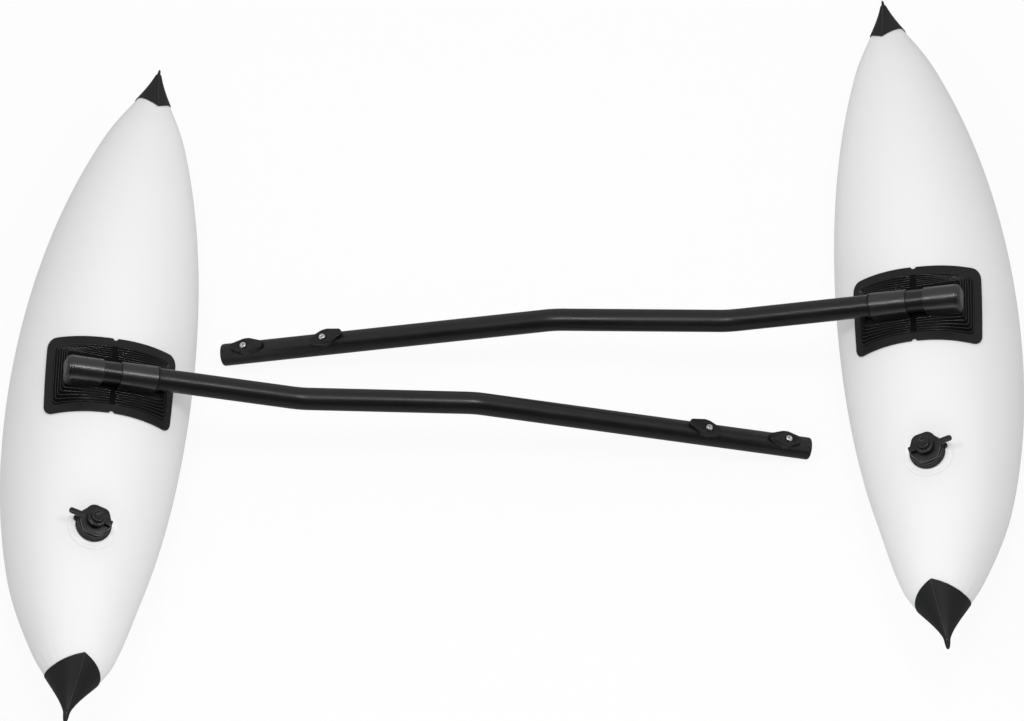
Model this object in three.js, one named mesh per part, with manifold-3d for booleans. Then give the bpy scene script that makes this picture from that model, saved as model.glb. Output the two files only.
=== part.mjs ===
// A pair of kayak outriggers. Each is an inflatable float with a rubber sleeve pad on its crown,
// and a bent tube arm that plugs into the sleeve and bolts to the deck at its inboard end.
// Millimetres, +Z up. X runs across the boat and Y along the floats. The pair lies as it does on a floor:
// each float on its belly and the inboard end of each arm on the ground.
import * as THREE from "three";
import { mergeVertices } from "three/addons/utils/BufferGeometryUtils.js";
import Module from "manifold-3d";

const wasm = await Module();
wasm.setup();

// Gaps and cutters
const seatGap = 0.3; // between pieces that touch
const overrun = 3; // how far a cutter reaches past what it cuts
const mergeTolerance = 0.0001;

// Float hull
const floatLength = 1070;
const floatDiameter = 260;
const filmThickness = 1.2;
const tipRise = 60; // how far the tips bow up from the middle
const hullTurn = THREE.MathUtils.degToRad(3.5); // turn of the hull's crown seam towards the boat
const taperShare = 1; // exponent of the taper
const fullnessShare = 0.26; // extra girth towards the tips
const floatRadius = floatDiameter / 2;
const hullSides = 24;
const hullSteps = 12;
const goreCount = 2;

// Welded tip caps
const bowCapLength = 80; // along the seams, from the tip
const sternCapLength = 95;
const capRecess = 18; // how far the edge draws back between seams
const capThickness = 1.1;
const capGap = 0.6;
const capTail = 11; // flat weld tail past the tip
const capTailWidth = 8;
const capTailThickness = 3;

// Sleeve pad
const padShift = -11.5; // the pad lies this far inboard of the crown
const padAhead = 6; // and its middle this far ahead of the sleeve's axis
const padTurn = THREE.MathUtils.degToRad(4.5); // ahead, from square to the float
const padWidth = 200; // round the hull
const padLength = 119; // along the hull
const padCorner = 14;
const padGap = 0.45;
const padThickness = 2.4;
const padEdge = 0.8; // rounding of the pad's rim
const padBorder = 13;
const ribCount = 6;
const ribPitchAlong = 3.8; // between ribs, counted along the hull
const ribPitchRound = 2.6; // between ribs, counted round the hull
const ribHeight = 1.1;
const ribStep = 0.17; // each rib stands this much above the one outside it
const ribFootShare = 0.25; // a rib's outer slope ends at this share of the pitch
const ribCrownShare = 0.6; // and its flat crown at this one
const padSlotWidth = 7.5;
const padNotchRadius = 3.4;
const padSpanSteps = 9;
const padCornerSteps = 2;

// Sleeve
const sleeveLength = 132;
const sleeveShift = -21; // inboard of the crown
const sleeveWindow = 26; // bare tube between the two sleeve barrels
const sleeveWall = 1.6;
const sleeveEndWall = 3;
const sleeveRound = 4;
const ringWidth = 3.2; // rubber ring at the sleeve's mouth
const ringWall = 2.1;

// Arm
const tubeDiameter = 32;
const tubeWall = 1.5;
const outerRun = 339.7; // blind end to the first bend's corner
const middleRun = 241; // between the two corners, level distance
const innerRun = 501; // second corner to the inboard end
const bendAngle = THREE.MathUtils.degToRad(13.4);
const bendRadius = 115;
const bendSteps = 3;
const tubeSides = 16;
const armFromMiddle = -24.5; // along the float, from its middle
const armTurn = THREE.MathUtils.degToRad(7.3); // ahead, from square to the float
const plugFlange = 1.5;
const plugDepth = 20;
const plugFlangeInset = 1;

// Deck end hardware
const screwFromEnd = 36;
const screwSpacing = 121;
const saddleLength = 48;
const saddleWidth = 23;
const saddleNose = 9.5; // width of the blunt ends
const saddleShoulder = 8; // length of the straight side between the slants
const saddleOffset = 4.5; // the plate's middle lies this far from its screw, towards the float
const saddleCrown = 6.8; // top face above the tube
const saddleSkirt = 6.5; // how far the side walls reach down from the tube's top
const saddleChamfer = 1;
const innerSaddleYaw = THREE.MathUtils.degToRad(-12);
const screwDiameter = 6;
const screwClearance = 0.35;
const screwLength = 45;
const screwHeadDiameter = 10.4;
const screwHeadHeight = 3.4;
const crossLength = 5.6;
const crossWidth = 1.1;
const crossDepth = 1.7;
const headRecess = 1.4;
const headRecessDiameter = 13;
const washerDiameter = 12;
const washerThickness = 1.2;
const nutAcross = 10;
const nutSides = 6;
const nutHeight = 5;
const nutCollar = 1.2;
const roundSides = 12;

// Valve
const valveFromMiddle = -255; // along the float, from its middle
const valveShift = -10; // inboard of the crown
const flangeDiameter = 70;
const flangeThickness = 1;
const flangeGap = 0.45;
const flangeSeat = 1.6; // flat seat above the hull's surface
const baseDiameter = 50;
const baseHeight = 13.5;
const baseNeckDiameter = 38;
const baseNeckDepth = 9; // inside the hull
const baseBoreDiameter = 32;
const baseStep = 2.2;
const anchorReach = 5;
const anchorWidth = 9;
const anchorTurn = THREE.MathUtils.degToRad(169);
const sealThickness = 1.8;
const plugBarrelDepth = 20;
const plugRimHeight = 6.5;
const plugLobe = 1.6;
const plugLobes = 6;
const lobeSteps = 5;
const plugNeckDiameter = 24;
const plugNeckHeight = 5;
const plugBoreDiameter = 17;
const plugSeatThickness = 2;
const wingReach = 40; // from the plug's middle, on the outboard side
const wingTail = 23; // and on the inboard side
const wingWidth = 8;
const wingThickness = 4.6;
const wingTurn = THREE.MathUtils.degToRad(-11);
const flapDiameter = 19;
const flapThickness = 1;
const flapStem = 3.4;
const flapBulb = 5.6;
const ventDiameter = 3.4;
const ventCount = 6;
const capDiscDiameter = 27;
const capDiscHeight = 4.4;
const knobDiameter = 18;
const knobHeight = 7;
const strapWidth = 8;
const strapThickness = 1.8;
const strapPivotRadius = 23;
const valveSides = 20;

// Where the two lie
const pairGap = 43.2; // across, from the end of each arm to the other's hull
const pairStagger = 116.2; // the right one lies this much further back
const leftHeading = THREE.MathUtils.degToRad(-6);
const rightHeading = THREE.MathUtils.degToRad(3.8);

// Sizes that follow from the ones above
const tubeRadius = tubeDiameter / 2;
const valveAngle = valveShift / floatRadius;
const plateauHeight = padThickness + ribCount * ribStep;
const sleeveAxis = floatRadius + padGap + plateauHeight + seatGap + tubeRadius;
const sleeveBack = sleeveShift - sleeveLength / 2;
const sleeveMouth = sleeveShift + sleeveLength / 2;
const barrelRadius = tubeRadius + seatGap + sleeveWall;
const ringRadius = tubeRadius + ringWall;
const armBack = sleeveBack + sleeveEndWall + seatGap + plugFlange + seatGap;
const armRise = middleRun * Math.tan(bendAngle);
const armEnd = armBack + outerRun + middleRun + innerRun;
const deckAxis = sleeveAxis + armRise;
const armAcross = armEnd * Math.cos(armTurn);
const lean = Math.asin(floatRadius / Math.hypot(armAcross, deckAxis - tubeRadius))
  + Math.atan2(deckAxis - tubeRadius, armAcross);
const armReach = armAcross * Math.cos(lean) + (deckAxis + tubeRadius) * Math.sin(lean);
const pairSpacing = armReach + pairGap + floatRadius; // between the middles of the two hulls, across

// Colours and finishes
const finish = (color, roughness, metalness = 0) =>
  new THREE.MeshStandardMaterial({ color, roughness, metalness });
const materials = {
  film: () => finish(0xeeeeec, 0.35),
  tipCap: () => finish(0x34353a, 0.6),
  rubber: () => finish(0x0e0e10, 0.45),
  arm: () => finish(0x0b0b0d, 0.32, 0.2),
  plastic: () => finish(0x141517, 0.5),
  clear: () => finish(0xe2e3e1, 0.3),
  steel: () => finish(0xb9bbbd, 0.28, 1),
};

// Solids

function toSolid(geometry) {
  const bare = geometry.clone();
  bare.deleteAttribute("normal");
  bare.deleteAttribute("uv");
  const merged = mergeVertices(bare, mergeTolerance);
  const corners = Array.from(merged.index.array);
  const kept = [];
  for (let i = 0; i < corners.length; i += 3) {
    const [a, b, c] = corners.slice(i, i + 3);
    if (a !== b && b !== c && c !== a) kept.push(a, b, c);
  }
  const solidFrom = (triangles) => new wasm.Manifold(new wasm.Mesh({
    numProp: 3,
    vertProperties: merged.attributes.position.array,
    triVerts: new Uint32Array(triangles),
  }));
  const solid = solidFrom(kept);
  return solid.volume() > 0 ? solid : solidFrom(kept.reverse());
}

function toGeometry(solid) {
  const mesh = solid.getMesh();
  const geometry = new THREE.BufferGeometry();
  geometry.setAttribute("position", new THREE.BufferAttribute(mesh.vertProperties, mesh.numProp));
  geometry.setIndex(new THREE.BufferAttribute(mesh.triVerts, 1));
  geometry.computeVertexNormals();
  return geometry;
}

// Joins rings of points, each with the same count, into one closed surface. The ends close on a pole point
// each, on a ladder of cross strips, or on each other.
function loft(rings, { poles, ladder = false, ring = false }) {
  const count = rings[0].length;
  const last = rings.length - 1;
  const points = rings.flat();
  const faces = [];
  const quad = (a, b, c, d) => faces.push(a, b, c, a, c, d);
  for (let r = 0; r < (ring ? rings.length : last); r += 1) {
    const here = r * count;
    const next = ((r + 1) % rings.length) * count;
    for (let i = 0; i < count; i += 1) {
      const j = (i + 1) % count;
      quad(here + i, here + j, next + j, next + i);
    }
  }
  if (poles) {
    points.push(...poles);
    for (let i = 0; i < count; i += 1) {
      const j = (i + 1) % count;
      faces.push(j, i, points.length - 2);
      faces.push(last * count + i, last * count + j, points.length - 1);
    }
  }
  if (ladder) {
    const base = last * count;
    for (let i = 0; i < count / 2 - 1; i += 1) {
      const across = count - 1 - i;
      quad(across, across - 1, i + 1, i);
      quad(base + i, base + i + 1, base + across - 1, base + across);
    }
  }
  const geometry = new THREE.BufferGeometry().setFromPoints(points);
  geometry.setIndex(faces);
  return toSolid(geometry);
}

// A solid of revolution about Z from [radius, height] pairs.
function revolve(profile, sides = roundSides) {
  const outline = profile.map(([radius, height]) => new THREE.Vector2(radius, height));
  return toSolid(new THREE.LatheGeometry(outline, sides).rotateX(Math.PI / 2));
}

function tube(innerRadius, outerRadius, low, high, sides = roundSides) {
  return revolve([
    [innerRadius, low],
    [outerRadius, low],
    [outerRadius, high],
    [innerRadius, high],
    [innerRadius, low],
  ], sides);
}

// A round bar from one point to another.
function bar(radius, from, to, sides = roundSides) {
  const axis = to.clone().sub(from);
  const geometry = new THREE.CylinderGeometry(radius, radius, axis.length(), sides);
  geometry.applyQuaternion(new THREE.Quaternion().setFromUnitVectors(
    new THREE.Vector3(0, 1, 0),
    axis.clone().normalize(),
  ));
  const middle = from.clone().add(to).divideScalar(2);
  return toSolid(geometry.translate(middle.x, middle.y, middle.z));
}

function block(low, high) {
  const size = high.clone().sub(low);
  const middle = low.clone().add(high).divideScalar(2);
  return toSolid(new THREE.BoxGeometry(size.x, size.y, size.z).translate(middle.x, middle.y, middle.z));
}

function prism(outline, low, high) {
  const shape = new THREE.Shape(outline.map(([x, y]) => new THREE.Vector2(x, y)));
  const geometry = new THREE.ExtrudeGeometry(shape, { depth: high - low, bevelEnabled: false });
  return toSolid(geometry.translate(0, 0, low));
}

const turned = (solid, angle) => solid.rotate([0, 0, THREE.MathUtils.radToDeg(angle)]);

// A round hole in a faceted piece keeps its clearance at every turn of the round bar inside it.
const clearBore = (radius, sides) => (radius + seatGap) / Math.cos(Math.PI / sides);

const at = (x, y, z) => new THREE.Vector3(x, y, z);

// Float hull

const hullGirth = (t) => floatRadius * (1 - t * t) ** taperShare * (1 + fullnessShare * t * t);

// A point of the hull at share t of its half length, from -1 at the near tip to 1 at the far one, and at an
// angle from straight up towards the boat.
function hullPoint(t, angle, offset = 0) {
  const girth = hullGirth(t) + offset;
  const rise = tipRise * t * t;
  return at(
    rise * Math.sin(hullTurn) + girth * Math.sin(angle),
    t * floatLength / 2,
    rise * Math.cos(hullTurn) + girth * Math.cos(angle),
  );
}

const hullColumn = (i) => hullTurn + i * 2 * Math.PI / hullSides;
const hullStation = (i) => Math.sin(Math.PI * (i / hullSteps - 1 / 2));

function hullRing(t, offset) {
  return Array.from({ length: hullSides }, (_, i) => hullPoint(t, hullColumn(i), offset));
}

function hullBody(offset, tipShare) {
  const rings = [];
  for (let i = 1; i < hullSteps; i += 1) rings.push(hullRing(hullStation(i), offset));
  const pole = (t) => hullPoint(t, 0).sub(at(0, 0, hullGirth(t)));
  return loft(rings, { poles: [pole(-tipShare), pole(tipShare)] });
}

const innerTipShare = 0.985;

function floatHull() {
  const valve = valveFrame();
  const hole = bar(
    baseNeckDiameter / 2 + seatGap,
    valve.out(-baseNeckDepth),
    valve.out(baseNeckDepth),
    valveSides,
  );
  return hullBody(0, 1).subtract(hullBody(-filmThickness, innerTipShare)).subtract(hole);
}

// Tip caps: a skin over each tip, its edge pointed at the two gore seams, ending in a flat weld tail.

function tipCap(end) {
  const recess = (i) => capRecess * Math.abs(Math.sin(goreCount * i * Math.PI / hullSides));
  const edge = (i) => 1 - ((end > 0 ? bowCapLength : sternCapLength) - recess(i)) / (floatLength / 2);
  const lastStation = hullStation(hullSteps - 1);
  const rows = [edge, (i) => (edge(i) + lastStation) / 2, () => lastStation, () => innerTipShare];
  const rowPoints = (share, offset) => Array.from(
    { length: hullSides },
    (_, i) => hullPoint(end * share(i), hullColumn(i), offset),
  );
  const outer = rows.map((share) => rowPoints(share, capGap + capThickness));
  const inner = rows.map((share) => rowPoints(share, capGap)).reverse();
  const tip = hullPoint(end, 0).sub(at(0, 0, hullGirth(end)));
  const crown = at(Math.sin(hullTurn), 0, Math.cos(hullTurn));
  const across = at(Math.cos(hullTurn), 0, -Math.sin(hullTurn));
  const tailRing = (reach, widthShare) => Array.from({ length: hullSides }, (_, i) => {
    const turn = i * 2 * Math.PI / hullSides;
    return tip.clone()
      .addScaledVector(at(0, end, 0), reach)
      .addScaledVector(crown, Math.cos(turn) * capTailThickness / 2)
      .addScaledVector(across, Math.sin(turn) * widthShare * capTailWidth / 2);
  });
  const tail = [tailRing(capThickness * 2, 1), tailRing(capTail * 3 / 4, 1), tailRing(capTail, 3 / 5)];
  const innerPole = tip.clone().addScaledVector(at(0, end, 0), capGap);
  const outerPole = tip.clone().addScaledVector(at(0, end, 0), capTail + capTailThickness / 4);
  return loft([...inner, ...outer, ...tail], { poles: [innerPole, outerPole] });
}

// Sleeve pad: rings of one rounded rectangle, drawn in step by step from the rim. The rim is wrapped on the
// hull, and the rings inside it climb by shares to a flat top below the sleeve.

const padTop = floatRadius + padGap + plateauHeight;

function padRing(roundInset, alongInset, height, climb = 0) {
  const halfWidth = padWidth / 2 - roundInset;
  const halfLength = padLength / 2 - alongInset;
  const corner = Math.max(padCorner - roundInset / 2, padCorner / 3);
  const half = [];
  for (let i = 0; i <= padCornerSteps; i += 1) {
    const turn = i / padCornerSteps * Math.PI / 2;
    half.push([
      halfWidth - corner + corner * Math.cos(turn),
      halfLength - corner + corner * Math.sin(turn),
    ]);
  }
  for (let i = 1; i < padSpanSteps; i += 1) {
    half.push([(halfWidth - corner) * (1 - 2 * i / padSpanSteps), halfLength]);
  }
  for (let i = padCornerSteps; i >= 0; i -= 1) {
    const [across, along] = half[i];
    half.push([-across, along]);
  }
  const mirrored = half.map(([across, along]) => [across, -along]).reverse();
  return [...half, ...mirrored].map(([across, along]) => {
    const place = at(padShift + across, padAhead + along, 0).applyAxisAngle(at(0, 0, 1), padTurn);
    const t = (armFromMiddle + place.y) / (floatLength / 2);
    const point = hullPoint(t, place.x / floatRadius, padGap + height);
    point.z += climb * (padTop - hullPoint(t, place.x / floatRadius, padGap + plateauHeight).z);
    return point;
  });
}

function padSheet() {
  const evenRing = (inset, height) => padRing(inset, inset, height);
  const underside = [2, 1].map((step) => evenRing(step * padLength / 6, 0));
  const rim = [evenRing(0, 0), evenRing(0, padThickness - padEdge), evenRing(padEdge, padThickness)];
  const ribRing = (step, height, climb) => padRing(
    padBorder + step * ribPitchRound,
    padBorder + step * ribPitchAlong,
    height,
    climb / ribCount,
  );
  const ribs = [];
  for (let i = 0; i < ribCount; i += 1) {
    const floor = padThickness + i * ribStep;
    ribs.push(ribRing(i, floor, i));
    ribs.push(ribRing(i + ribFootShare, floor + ribHeight + ribStep, i + 1));
    ribs.push(ribRing(i + ribCrownShare, floor + ribHeight + ribStep, i + 1));
  }
  const plateau = ribRing(ribCount, plateauHeight, ribCount);
  return loft([...underside, ...rim, ...ribs, plateau], { ladder: true });
}

// The sleeve and the arm are built in a frame of their own, with X along the tube and Y across it.
const ontoFloat = (solid, turn) => turned(solid, turn).translate([0, armFromMiddle, 0]);

// One barrel of the sleeve: a round top with straight sides that reach down into the pad.
function sleeveBarrel(back, front, roundBack) {
  const section = (x, inset) => {
    const radius = barrelRadius - inset;
    const ring = [at(x, -radius, floatRadius / 2)];
    for (let i = 0; i <= tubeSides / 2; i += 1) {
      const turn = i * 2 * Math.PI / tubeSides;
      ring.push(at(x, -radius * Math.cos(turn), sleeveAxis + radius * Math.sin(turn)));
    }
    ring.push(at(x, radius, floatRadius / 2));
    return ring;
  };
  const rings = [section(back + (roundBack ? sleeveRound / 2 : 0), 0), section(front, 0)];
  if (roundBack) rings.unshift(section(back, sleeveRound / 2));
  const middle = (x) => at(x, 0, sleeveAxis);
  return loft(rings, { poles: [middle(back), middle(front)] });
}

function sleevePad() {
  const windowBack = sleeveShift - sleeveWindow / 2;
  const windowFront = sleeveShift + sleeveWindow / 2;
  const bed = hullBody(padGap + padThickness / 2, 1);
  const barrels = sleeveBarrel(sleeveBack, windowBack, true)
    .add(sleeveBarrel(windowFront, sleeveMouth, false));
  const bore = straightBar(
    clearBore(tubeRadius, tubeSides),
    sleeveBack + sleeveEndWall,
    padWidth / 2,
    sleeveAxis,
  );
  const ringSeat = straightBar(clearBore(ringRadius, tubeSides), sleeveMouth, padWidth / 2, sleeveAxis);
  const halfLength = padLength / 2;
  const slot = (side) => {
    const inner = side * (barrelRadius + seatGap);
    const outer = padAhead + side * (halfLength - padBorder);
    return block(
      at(padShift - padSlotWidth / 2, Math.min(inner, outer), floatRadius + padGap + padThickness),
      at(padShift + padSlotWidth / 2, Math.max(inner, outer), sleeveAxis),
    );
  };
  const notch = (side) => {
    const along = padAhead + side * (halfLength + padNotchRadius / 3);
    return bar(
      padNotchRadius,
      at(padShift, along, floatRadius / 2),
      at(padShift, along, sleeveAxis),
      roundSides / 2,
    );
  };
  return padSheet().add(ontoFloat(barrels, armTurn).subtract(bed))
    .subtract(ontoFloat(bore.add(ringSeat), armTurn))
    .subtract(ontoFloat(slot(1).add(slot(-1)).add(notch(1)).add(notch(-1)), padTurn))
    .subtract(hullBody(seatGap, 1));
}

// Arm

function circleAt(station, radius) {
  return Array.from({ length: tubeSides }, (_, i) => {
    const turn = i * 2 * Math.PI / tubeSides;
    const up = radius * Math.sin(turn);
    return at(
      station.x - up * Math.sin(station.pitch),
      radius * Math.cos(turn),
      station.z + up * Math.cos(station.pitch),
    );
  });
}

function straightBar(radius, from, to, height) {
  const ends = [from, to].map((x) => ({ x, z: height, pitch: 0 }));
  const poles = ends.map(({ x, z }) => at(x, 0, z));
  return loft(ends.map((station) => circleAt(station, radius)), { poles });
}

function armStations() {
  const reach = bendRadius * Math.tan(bendAngle / 2);
  const lowCorner = armBack + outerRun;
  const highCorner = lowCorner + middleRun;
  const stations = [{ x: armBack, z: sleeveAxis, pitch: 0 }];
  for (let i = 0; i <= bendSteps; i += 1) {
    const pitch = bendAngle * i / bendSteps;
    stations.push({
      x: lowCorner - reach + bendRadius * Math.sin(pitch),
      z: sleeveAxis + bendRadius * (1 - Math.cos(pitch)),
      pitch,
    });
  }
  for (let i = bendSteps; i >= 0; i -= 1) {
    const pitch = bendAngle * i / bendSteps;
    stations.push({
      x: highCorner + reach - bendRadius * Math.sin(pitch),
      z: deckAxis - bendRadius * (1 - Math.cos(pitch)),
      pitch,
    });
  }
  stations.push({ x: armEnd, z: deckAxis, pitch: 0 });
  return stations;
}

const screwPlaces = { outer: armEnd - screwFromEnd, inner: armEnd - screwFromEnd - screwSpacing };
const screwHoleRadius = screwDiameter / 2 + screwClearance;

function screwHole(x) {
  return bar(
    screwHoleRadius,
    at(x, 0, deckAxis - tubeDiameter),
    at(x, 0, deckAxis + tubeDiameter),
    roundSides,
  );
}

function armTube() {
  const stations = armStations();
  const outside = stations.map((station) => circleAt(station, tubeRadius));
  const inside = stations.map((station) => circleAt(station, tubeRadius - tubeWall)).reverse();
  const pipe = loft([...outside, ...inside], { ring: true });
  return pipe.subtract(screwHole(screwPlaces.outer)).subtract(screwHole(screwPlaces.inner));
}

// A plug that closes one end of the tube: a thin flange outside and a hollow barrel inside.
function endPlug(x, direction, height) {
  const barrel = tubeRadius - tubeWall - seatGap;
  const flange = tubeRadius - plugFlangeInset;
  const face = plugFlange + seatGap;
  const plug = revolve([
    [0, face],
    [flange * 3 / 5, face],
    [flange, face - plugFlange / 3],
    [flange, seatGap],
    [barrel, seatGap],
    [barrel, -plugDepth],
    [barrel - tubeWall, -plugDepth],
    [barrel - tubeWall, seatGap],
    [0, seatGap],
  ], roundSides);
  return plug.rotate([0, 90 * direction, 0]).translate([x, 0, height]);
}

// Rubber ring round the tube, at the sleeve's mouth.
function sleeveRing() {
  const inner = clearBore(tubeRadius, tubeSides);
  const outer = ringRadius;
  const ring = revolve([
    [inner, 0],
    [outer - ringWall / 4, 0],
    [outer, ringWidth / 2],
    [outer - ringWall / 4, ringWidth],
    [inner, ringWidth],
    [inner, 0],
  ], tubeSides);
  return ring.rotate([0, 90, 0]).translate([sleeveMouth + seatGap, 0, sleeveAxis]);
}

// Deck end hardware, each placed over its screw hole

const saddleTop = deckAxis + tubeRadius + seatGap + saddleCrown;

function saddle(x, yaw) {
  const halfLength = saddleLength / 2;
  const halfWidth = saddleWidth / 2;
  const nose = saddleNose / 2;
  const shoulder = saddleShoulder / 2;
  const outline = (inset) => [
    [halfLength - inset, nose - inset / 2],
    [shoulder, halfWidth - inset],
    [-shoulder, halfWidth - inset],
    [inset - halfLength, nose - inset / 2],
    [inset - halfLength, inset / 2 - nose],
    [-shoulder, inset - halfWidth],
    [shoulder, inset - halfWidth],
    [halfLength - inset, inset / 2 - nose],
  ];
  const ring = (inset, z) => outline(inset).map(([across, along]) => at(across, along, z));
  const skirt = deckAxis + tubeRadius - saddleSkirt;
  const body = loft(
    [ring(0, skirt), ring(0, saddleTop - saddleChamfer), ring(saddleChamfer, saddleTop)],
    { poles: [at(0, 0, skirt), at(0, 0, saddleTop)] },
  ).translate([-saddleOffset, 0, 0]);
  const recess = bar(
    headRecessDiameter / 2,
    at(0, 0, saddleTop - headRecess),
    at(0, 0, saddleTop + overrun),
  );
  const seated = turned(body.subtract(recess), yaw).translate([x, 0, 0]);
  const seat = straightBar(tubeRadius + seatGap, x - saddleLength, x + saddleLength, deckAxis);
  return seated.subtract(seat).subtract(screwHole(x));
}

function deckScrew(x) {
  const headRadius = screwHeadDiameter / 2;
  const under = saddleTop - headRecess + seatGap;
  const crownHeight = under + screwHeadHeight;
  const screw = revolve([
    [0, under - screwLength],
    [screwDiameter / 2 - screwClearance, under - screwLength],
    [screwDiameter / 2, under - screwLength + screwClearance],
    [screwDiameter / 2, under],
    [headRadius, under],
    [headRadius, under + screwHeadHeight / 2],
    [headRadius * 4 / 5, crownHeight - screwHeadHeight / 8],
    [headRadius / 3, crownHeight],
    [0, crownHeight],
  ]);
  const slotOf = (length, width) => block(
    at(-length / 2, -width / 2, crownHeight - crossDepth),
    at(length / 2, width / 2, crownHeight + overrun),
  );
  const cross = slotOf(crossLength, crossWidth).add(slotOf(crossWidth, crossLength));
  return screw.subtract(turned(cross, bendAngle)).translate([x, 0, 0]);
}

const washerTop = deckAxis - tubeRadius - seatGap;
const nutTop = washerTop - washerThickness - seatGap;

function washer(x) {
  const ring = tube(screwHoleRadius, washerDiameter / 2, washerTop - washerThickness, washerTop);
  return ring.translate([x, 0, 0]);
}

// Lock nut: a hexagon with a plain round collar below it.
function lockNut(x) {
  const corner = nutAcross / 2 / Math.cos(Math.PI / nutSides);
  const hexagon = Array.from({ length: nutSides }, (_, i) => [
    corner * Math.cos(i * 2 * Math.PI / nutSides),
    corner * Math.sin(i * 2 * Math.PI / nutSides),
  ]);
  const low = nutTop - nutHeight;
  const hole = bar(screwHoleRadius, at(0, 0, low - overrun - nutCollar), at(0, 0, nutTop + overrun));
  const collar = bar(nutAcross * 4 / 9, at(0, 0, low - nutCollar), at(0, 0, low + nutCollar));
  return prism(hexagon, low, nutTop).add(collar).subtract(hole).translate([x, 0, 0]);
}

// Valve, in a frame of its own on the hull: Z out of the hull, X round it towards the boat, Y to the far tip

function valveFrame() {
  const t = valveFromMiddle / (floatLength / 2);
  const stepShare = 1e-4;
  const foot = hullPoint(t, valveAngle);
  const round = hullPoint(t, valveAngle + stepShare).sub(hullPoint(t, valveAngle - stepShare)).normalize();
  const along = hullPoint(t + stepShare, valveAngle).sub(hullPoint(t - stepShare, valveAngle)).normalize();
  const normal = round.clone().cross(along).normalize();
  const far = normal.clone().cross(round);
  const matrix = new THREE.Matrix4().makeBasis(round, far, normal).setPosition(foot);
  return {
    matrix,
    out: (height) => foot.clone().addScaledVector(normal, height),
  };
}

// Height of the hull's surface over a point of the valve's own plane, closed in on pass by pass.
const surfacePasses = 6;
function hullUnder(x, y) {
  const { matrix } = valveFrame();
  const inverse = matrix.clone().invert();
  const probe = at(x, y, 0).applyMatrix4(matrix);
  for (let pass = 0; pass < surfacePasses; pass += 1) {
    const t = probe.y / (floatLength / 2);
    const centre = hullPoint(t, 0).sub(at(0, 0, hullGirth(t)));
    const angle = Math.atan2(probe.x - centre.x, probe.z - centre.z);
    const surface = hullPoint(t, angle).applyMatrix4(inverse);
    probe.copy(at(x, y, surface.z)).applyMatrix4(matrix);
  }
  return probe.applyMatrix4(inverse).z;
}

// Clear film flange welded on the hull: a flat seat round the neck, then a skirt that drapes over the hull.
function valveFlange() {
  const neck = baseNeckDiameter / 2 + seatGap * 2;
  const seat = baseDiameter / 2 + flangeThickness;
  const edge = flangeDiameter / 2;
  const ringOf = (radius, height) => Array.from({ length: valveSides }, (_, i) => {
    const turn = i * 2 * Math.PI / valveSides;
    const x = radius * Math.cos(turn);
    const y = radius * Math.sin(turn);
    return at(x, y, height(x, y));
  });
  const under = (x, y) => hullUnder(x, y) + flangeGap;
  const draped = (x, y) => hullUnder(x, y) + flangeGap + flangeThickness;
  const flat = () => flangeSeat;
  const rings = [
    ringOf(neck, under),
    ringOf(seat, under),
    ringOf(edge, under),
    ringOf(edge, draped),
    ringOf(seat + flangeThickness * 2, draped),
    ringOf(seat, flat),
    ringOf(neck, flat),
  ];
  return loft(rings, { ring: true });
}

const baseLow = flangeSeat + seatGap;
const baseTop = baseLow + baseHeight;

function valveBase() {
  const bore = clearBore(baseBoreDiameter / 2, valveSides);
  const neck = baseNeckDiameter / 2;
  const rim = baseDiameter / 2;
  const body = revolve([
    [bore, -baseNeckDepth],
    [neck, -baseNeckDepth],
    [neck, baseLow],
    [rim, baseLow],
    [rim, baseLow + baseHeight / 3],
    [rim - baseStep / 2, baseLow + baseHeight / 3 + baseStep / 4],
    [rim - baseStep / 2, baseLow + baseHeight * 2 / 3],
    [rim - baseStep, baseLow + baseHeight * 2 / 3 + baseStep / 4],
    [rim - baseStep, baseTop - baseStep / 4],
    [rim - baseStep * 5 / 4, baseTop],
    [bore, baseTop],
    [bore, -baseNeckDepth],
  ], valveSides);
  const lug = block(
    at(rim - baseStep, -anchorWidth / 2, baseLow),
    at(rim + anchorReach, anchorWidth / 2, baseLow + baseHeight / 3),
  );
  return body.add(turned(lug, anchorTurn));
}

const sealLow = baseTop + seatGap;
const rimLow = sealLow + sealThickness + seatGap;
const rimTop = rimLow + plugRimHeight;
const neckTop = rimTop + plugNeckHeight;

function plugSeal() {
  const inner = clearBore(baseBoreDiameter / 2, valveSides);
  const outer = baseDiameter / 2 - baseStep * 3 / 2;
  return tube(inner, outer, sealLow, sealLow + sealThickness, valveSides);
}

const plugSeatTop = rimLow - plugBarrelDepth + plugSeatThickness;

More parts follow.
